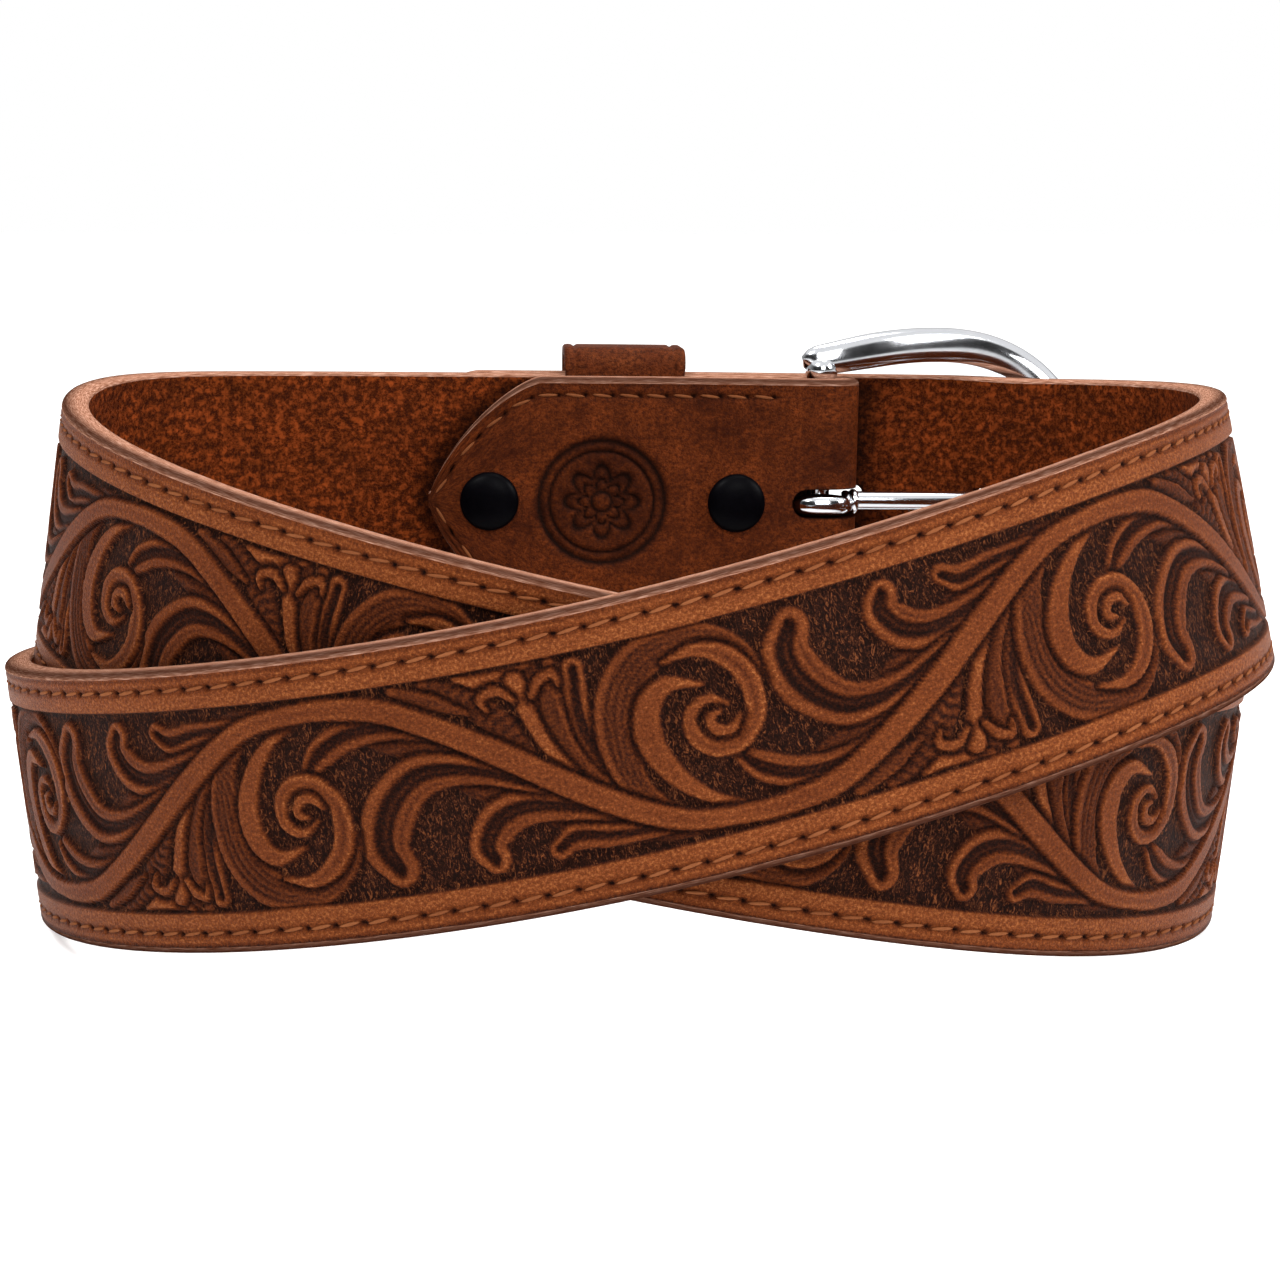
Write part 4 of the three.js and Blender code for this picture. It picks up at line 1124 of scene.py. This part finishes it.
def make_all_stitches():
    tree = stitch_tree()
    level = HALF_THICKNESS - 0.14 * MM
    first = math.ceil(0.02 / STITCH_PITCH)
    last = math.floor((TIP_AT - 1.5 * MM) / STITCH_PITCH)
    distance = (np.arange(first, last) + 0.5) * STITCH_PITCH
    share = point_half_width(TIP_AT - distance, BILLET_POINT_LENGTH) / HALF_WIDTH
    rows = stitch_rows(strap_surface(distance), share, level)
    strap = make_stitches("strap_stitching", *rows, tree)
    fold = math.pi * FOLD_RADIUS
    start = math.ceil((7 * MM + fold) / STITCH_PITCH)
    end = math.floor((TAB_LENGTH - 2.5 * MM + fold) / STITCH_PITCH)
    from_bar = (np.arange(start, end + 1) + 0.5) * STITCH_PITCH - fold
    share = point_half_width(TAB_LENGTH - from_bar, TAB_POINT_LENGTH) / HALF_WIDTH
    tab = make_stitches("tab_stitching", *stitch_rows(tab_surface(from_bar), share, level), tree)
    return [strap, tab]


# Metal
def frame_outward(reach):
    """How far outside the strap's own layer the buckle lies, from the bar to its far end."""
    under_rim = turn_at(BILLET_AT_BAR - (FRAME_REACH - 1.7 * RIM_WIDTH))
    far = LAYER_PITCH + billet_dip(under_rim) + HALF_THICKNESS + 2 * CLEARANCE + RIM_DEPTH / 2
    return -FOLD_RADIUS + (far + FOLD_RADIUS) * smoothstep(reach, 0, FRAME_REACH - RIM_WIDTH)


def buckle_points(reach, height, outward):
    surface = frame_at(turn_at(-reach))
    return surface.p + surface.across * height[:, None] + surface.out * outward[:, None], surface.out


def rim_line():
    """Middle line of the rim, as reach and height, from the bar's top round to its lower end."""
    half_height = (FRAME_HEIGHT - RIM_WIDTH) / 2 - RIM_LOWERED
    bar_height = (FRAME_BAR_HEIGHT - RIM_WIDTH) / 2 - RIM_LOWERED / 2
    reach = FRAME_REACH - RIM_WIDTH / 2 - FRAME_SHOULDER
    share = np.linspace(0, 1, 14)[:-1]
    shoulder = np.stack([FRAME_SHOULDER * share, bar_height + (half_height - bar_height)
                         * np.sin(share * math.pi / 2)], -1)
    angle = np.linspace(math.pi / 2, 0, 40)
    power = 2 / FRAME_SQUARENESS
    arc = np.stack([FRAME_SHOULDER + reach * np.cos(angle) ** power, half_height * np.sin(angle) ** power], -1)
    end = np.array([(-2.6, -1.3), (-2.1, -0.6), (-1.2, -0.15)]) * MM + (0, bar_height)
    upper = np.vstack([end, shoulder, arc])
    line = np.vstack([upper, upper[-2::-1] * (1, -1)])
    length = np.concatenate([[0], np.cumsum(np.linalg.norm(np.diff(line, axis=0), axis=1))])
    even = np.linspace(0, length[-1], 150)
    return np.stack([np.interp(even, length, line[:, k]) for k in (0, 1)], -1)


def bar_place():
    bar = Surface(*(value[0] for value in frame_at(np.array([BAR_TURN]))))
    return Surface(bar.p - bar.out * FOLD_RADIUS, bar.run, bar.across, bar.out)


def tilted(section, degrees):
    """A section turned so that its outer face looks up a little."""
    tilt = math.radians(degrees)
    return section @ np.array([[math.cos(tilt), -math.sin(tilt)], [math.sin(tilt), math.cos(tilt)]])


def make_buckle_frame():
    line = rim_line()
    points, outward = buckle_points(line[:, 0], line[:, 1], frame_outward(line[:, 0]))
    surface = frames_along(points, outward)
    section = tilted(round_section(RIM_WIDTH, RIM_DEPTH, 40, 2.5), RIM_TILT)
    taper = 0.86 + 0.14 * smoothstep(np.minimum(np.arange(150), np.arange(150)[::-1]), 0, 16)
    from_end = np.minimum(np.arange(150), np.arange(150)[::-1])
    dome = np.sqrt(np.maximum(1 - (1 - np.minimum(from_end / 4, 1)) ** 2, 0.01))
    sections = section[None] * np.stack([taper * dome, (0.5 + 0.5 * taper) * dome], -1)[:, None]
    rim = swept_piece("rim", surface, sections, NICKEL)
    bar = bar_place()
    half = (FRAME_BAR_HEIGHT - RIM_WIDTH) / 2 - 2 * RIM_LOWERED
    r = BAR_DIAMETER / 2
    rod = turned_piece("bar", bar.p, bar.across, [(r, -half), (r, 0), (r, half)], 32, NICKEL)
    ball = BEAD_DIAMETER / 2
    beads = []
    for side in (-1, 1):
        profile = [(ball * math.sin(a), -ball * math.cos(a)) for a in np.linspace(0.03, math.pi - 0.03, 20)]
        beads.append(turned_piece("bead", bar.p + bar.across * side * half, bar.across, profile, 32, NICKEL))
    return join("buckle_frame_polished", [rim, rod, *beads])


# Middle line of the prong, as shares of the frame's reach and of its depth
PRONG_LINE = [(0.1, 0), (0.3, 0.02), (0.48, 0.08), (0.6, 0.21), (0.7, 0.5), (0.79, 0.83), (0.87, 1), (0.96, 1)]


def make_prong():
    over_rim = frame_outward(FRAME_REACH) + RIM_DEPTH / 2 + CLEARANCE + PRONG_DIAMETER / 2
    line = smooth_line(PRONG_LINE, 70)
    reach = line[:, 0] * FRAME_REACH
    outward = -FOLD_RADIUS + (over_rim + FOLD_RADIUS) * line[:, 1]
    points, out = buckle_points(reach, np.zeros(70), outward)
    surface = frames_along(points, out)
    width = PRONG_DIAMETER * np.minimum(1, 0.25 + 0.75 * np.sqrt(np.clip((70 - np.arange(70)) / 9, 0, 1)))
    sections = round_section(1.0, 1.0, 28)[None] * width[:, None, None]
    shaft = swept_piece("shaft", surface, sections, NICKEL)
    bar = bar_place()
    toward = -bar.run
    nose = PRONG_HUB_DIAMETER / 2
    count = 30
    at = np.cos(np.linspace(math.pi, 0, count))
    girth = (1 - np.abs(at) ** 2.6) ** (1 / 2.2)
    girth = np.maximum(girth, 0.02)
    lowered = HUB_DEPTH / 2 * math.sin(math.radians(HUB_TILT))
    middle = bar.p - bar.out * PRONG_HUB_FORWARD - bar.across * lowered
    centre = middle + toward * (at * nose)[:, None]
    body = Surface(centre, np.broadcast_to(toward, centre.shape), np.broadcast_to(bar.across, centre.shape),
                   np.broadcast_to(np.cross(toward, bar.across), centre.shape))
    ring = tilted(round_section(PRONG_HUB_HEIGHT, HUB_DEPTH, 40, 3.2), HUB_TILT)
    hub = swept_piece("hub", body, ring[None] * girth[:, None, None], NICKEL)
    collars = []
    for offset, size in ((0.8, 1.0), (1.04, 1.12)):
        rows = [(0.2, -0.6), (1.5, -0.6), (1.75, -0.3), (1.8, 0), (1.75, 0.3), (1.5, 0.6), (0.2, 0.6)]
        profile = [(radius * size * MM, height * MM) for radius, height in rows]
        place = bar.p - bar.out * PRONG_HUB_FORWARD * 0.8 + toward * nose * offset
        collars.append(turned_piece("collar", place, toward, profile, 28, NICKEL))
    return join("buckle_prong_polished", [hub, shaft, *collars])


def make_snap(name, distance):
    back = Surface(*(value[0] for value in frame_at(turn_at(np.array([distance])))))
    inward = STRAP_THICKNESS + float(tab_gap(np.array([distance]))[0])
    cap, rise, post = SNAP_CAP_DIAMETER / 2, SNAP_CAP_RISE, SNAP_POST_DIAMETER / 2
    face = inward + HALF_THICKNESS - 0.05 * MM
    tail = -(HALF_THICKNESS - 0.5 * MM)
    # the lathe's height runs inward, towards the tab's face and out of it
    cap_rows = [(0.05 * MM, face + rise), (cap * 0.3, face + rise * 0.98), (cap * 0.6, face + rise * 0.86),
                (cap * 0.84, face + rise * 0.6), (cap * 0.96, face + rise * 0.32), (cap * 0.99, face + rise * 0.14)]
    dome = list(reversed(smoothed(cap_rows, 22)))
    rim = [(cap * 0.92, face), (cap * 0.97, face + rise * 0.02), (cap, face + rise * 0.1)]
    head = SNAP_HEAD_DIAMETER / 2
    foot = [(0.05 * MM, tail - 0.1 * MM), (head, tail - 0.1 * MM), (head, tail + 0.5 * MM), (post, tail + 0.5 * MM)]
    return turned_piece(name, back.p, -back.out, [*foot, (post, face), *rim, *dome], 56, ENAMEL)


def keeper_section():
    """The band's section: rounded edges and a crease pressed along each of them."""
    half, high, r = KEEPER_WIDTH / 2, KEEPER_THICKNESS / 2, 0.6 * MM
    upper_right = corner((half - r, high - r), (r, r), 0, 5)
    lower_right = corner((half - r, -high + r), (r, r), -90, 5)
    across = np.linspace(half - r, -half + r, 90)[1:-1]
    crease = groove(np.abs(across), half - 1.7 * MM, 0.3 * MM)
    face = list(zip(across, high - 0.3 * MM * crease))
    under = [(x, -high) for x in np.linspace(-half + r, half - r, 12)[1:-1]]
    mirrored = [(-x, y) for x, y in reversed([*lower_right, *upper_right])]
    return np.array([*lower_right, *upper_right, *face, *mirrored, *under])


def make_keeper():
    """A leather band round both layers, with rounded edges and a crease along each of them."""
    half = HALF_WIDTH + KEEPER_PROUD - KEEPER_THICKNESS / 2
    low = -HALF_THICKNESS - CLEARANCE - KEEPER_THICKNESS / 2
    high = LAYER_PITCH + HALF_THICKNESS + CLEARANCE + KEEPER_THICKNESS / 2
    radius = KEEPER_CORNER - KEEPER_THICKNESS / 2
    path = []
    for centre, start in (((half - radius, low + radius), -90), ((half - radius, high - radius), 0),
                          ((-half + radius, high - radius), 90), ((-half + radius, low + radius), 180)):
        path += corner(centre, (radius, radius), start, 9)
    path = np.array(path + path[:1])
    length = np.concatenate([[0], np.cumsum(np.linalg.norm(np.diff(path, axis=0), axis=1))])
    count = 180
    even = np.linspace(0, length[-1], count + 1)[:-1]
    loop = np.stack([np.interp(even, length, path[:, k]) for k in (0, 1)], -1)
    tangent = unit(np.roll(loop, -1, 0) - np.roll(loop, 1, 0))
    normal = np.stack([tangent[:, 1], -tangent[:, 0]], -1)
    band = keeper_section()
    ripple = 0.25 * MM * np.sin(even / (6.5 * MM)) * np.sin(even / (17 * MM))
    rows = []
    for k in range(count):
        along = KEEPER_FROM_BAR + band[:, 0] * (1 + 0.02 * math.sin(even[k] / (9 * MM))) + ripple[k]
        surface = frame_at(turn_at(along))
        crown = band[:, 1]
        across = loop[k, 0] + normal[k, 0] * crown
        out = loop[k, 1] + normal[k, 1] * crown
        rows.append(surface.p + surface.across * across[:, None] + surface.out * out[:, None])
    points = np.array(rows).reshape(-1, 3)
    columns = len(band)
    faces = []
    for r in range(count):
        after = (r + 1) % count
        for k in range(columns):
            nxt = (k + 1) % columns
            faces.append([r * columns + k, r * columns + nxt, after * columns + nxt, after * columns + k])
    piece = mesh_piece("keeper_band", points, faces, [KEEPER_LEATHER])
    turn_outward(piece)
    return piece


def turn_outward(piece):
    shape = bmesh.new()
    shape.from_mesh(piece.data)
    bmesh.ops.recalc_face_normals(shape, faces=shape.faces)
    shape.to_mesh(piece.data)
    shape.free()


# Pieces on the frame
def dress(piece, slot, *nodes):
    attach(piece, "root")
    if nodes:
        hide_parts(*nodes)


strap_pieces = make_strap_lengths()
strap_pieces.append(make_tab())
for piece in strap_pieces:
    dress(piece, "tooled_leather", "strap")
for piece in make_all_stitches():
    dress(piece, "tooled_leather")
buckle = make_buckle_frame()
turn_outward(buckle)
dress(buckle, "polished_nickel", "buckle_frame")
prong = make_prong()
turn_outward(prong)
dress(prong, "polished_nickel", "buckle_prong")
dress(make_keeper(), "keeper_leather", "keeper_loop")
for label, from_bar in SNAPS_FROM_BAR.items():
    snap = make_snap(label + "_cap", from_bar)
    turn_outward(snap)
    dress(snap, "black_enamel", label)


# Studio
CAMERA_PLACE = Vector((0.325, -483.146, 116.12)) * MM
CAMERA_PITCH = math.radians(8.66)
CAMERA_LENS = 96.5

FLOOR_HALF = 3.0


def make_camera():
    data = bpy.data.cameras.new("camera")
    data.lens = CAMERA_LENS
    data.sensor_width = 36
    data.clip_start = 0.01
    data.clip_end = 20
    camera = bpy.data.objects.new("camera", data)
    camera.location = CAMERA_PLACE
    camera.rotation_euler = (math.pi / 2 - CAMERA_PITCH, 0, 0)
    bpy.context.scene.collection.objects.link(camera)
    bpy.context.scene.camera = camera


def make_floor():
    material, nodes, shader = new_material("white_sweep", 0.9, 0.0)
    shader.inputs["Base Color"].default_value = (0.96, 0.96, 0.96, 1)
    shader.inputs["Emission Color"].default_value = (1, 1, 1, 1)
    shader.inputs["Emission Strength"].default_value = 0.3
    mesh = bpy.data.meshes.new("floor")
    half = FLOOR_HALF
    mesh.from_pydata([(-half, -half, 0), (half, -half, 0), (half, half, 0), (-half, half, 0)], [], [[0, 1, 2, 3]])
    mesh.materials.append(material)
    floor = bpy.data.objects.new("floor", mesh)
    bpy.context.scene.collection.objects.link(floor)


def make_light(name, place, target, size, power):
    data = bpy.data.lights.new(name, "AREA")
    data.shape = "RECTANGLE"
    data.size, data.size_y = size
    data.energy = power
    light = bpy.data.objects.new(name, data)
    light.location = place
    light.rotation_euler = (Vector(target) - Vector(place)).to_track_quat("-Z", "Y").to_euler()
    bpy.context.scene.collection.objects.link(light)


def make_world():
    world = bpy.data.worlds.new("studio")
    bpy.context.scene.world = world
    world.use_nodes = True
    world.node_tree.nodes.clear()
    nodes = Nodes(world.node_tree)
    way = nodes.new("ShaderNodeTexCoord").outputs["Generated"]
    axes = nodes.new("ShaderNodeSeparateXYZ", {0: way}).outputs
    raised = nodes.math("ADD", nodes.math("MULTIPLY", axes["Z"], 0.5), 0.5)
    dark_band = nodes.ramp(raised, [(0.0, (0, 0, 0, 1)), (0.53, (0, 0, 0, 1)), (0.55, (1, 1, 1, 1)),
                                    (0.76, (1, 1, 1, 1)), (0.8, (0, 0, 0, 1))])
    toward_front = nodes.new("ShaderNodeMapRange", {"Value": axes["Y"], "From Min": 0.3, "From Max": -0.5,
                                                    "To Min": 0.6})
    shade = nodes.math("MULTIPLY", dark_band, toward_front.outputs[0])
    sky = nodes.mix(shade, (1, 1, 1, 1), (0.02, 0.02, 0.02, 1))
    background = nodes.new("ShaderNodeBackground", {"Color": sky, "Strength": 1.0})
    out = nodes.new("ShaderNodeOutputWorld")
    nodes.set(out.inputs["Surface"], background.outputs[0])


make_camera()
make_floor()
make_world()
make_light("key", (-0.5, -0.6, 0.95), (0, 0, 0.03), (0.3, 0.3), 7.6)
make_light("top", (0.1, 0.15, 1.1), (0, 0, 0.03), (0.8, 0.4), 7)
make_light("fill", (0.22, -0.85, 0.5), (0.02, 0, 0.03), (0.4, 0.4), 4)
make_light("side", (0.95, -0.3, 0.6), (0.02, 0, 0.03), (0.4, 0.4), 9)
bpy.context.scene.view_settings.view_transform = "Standard"
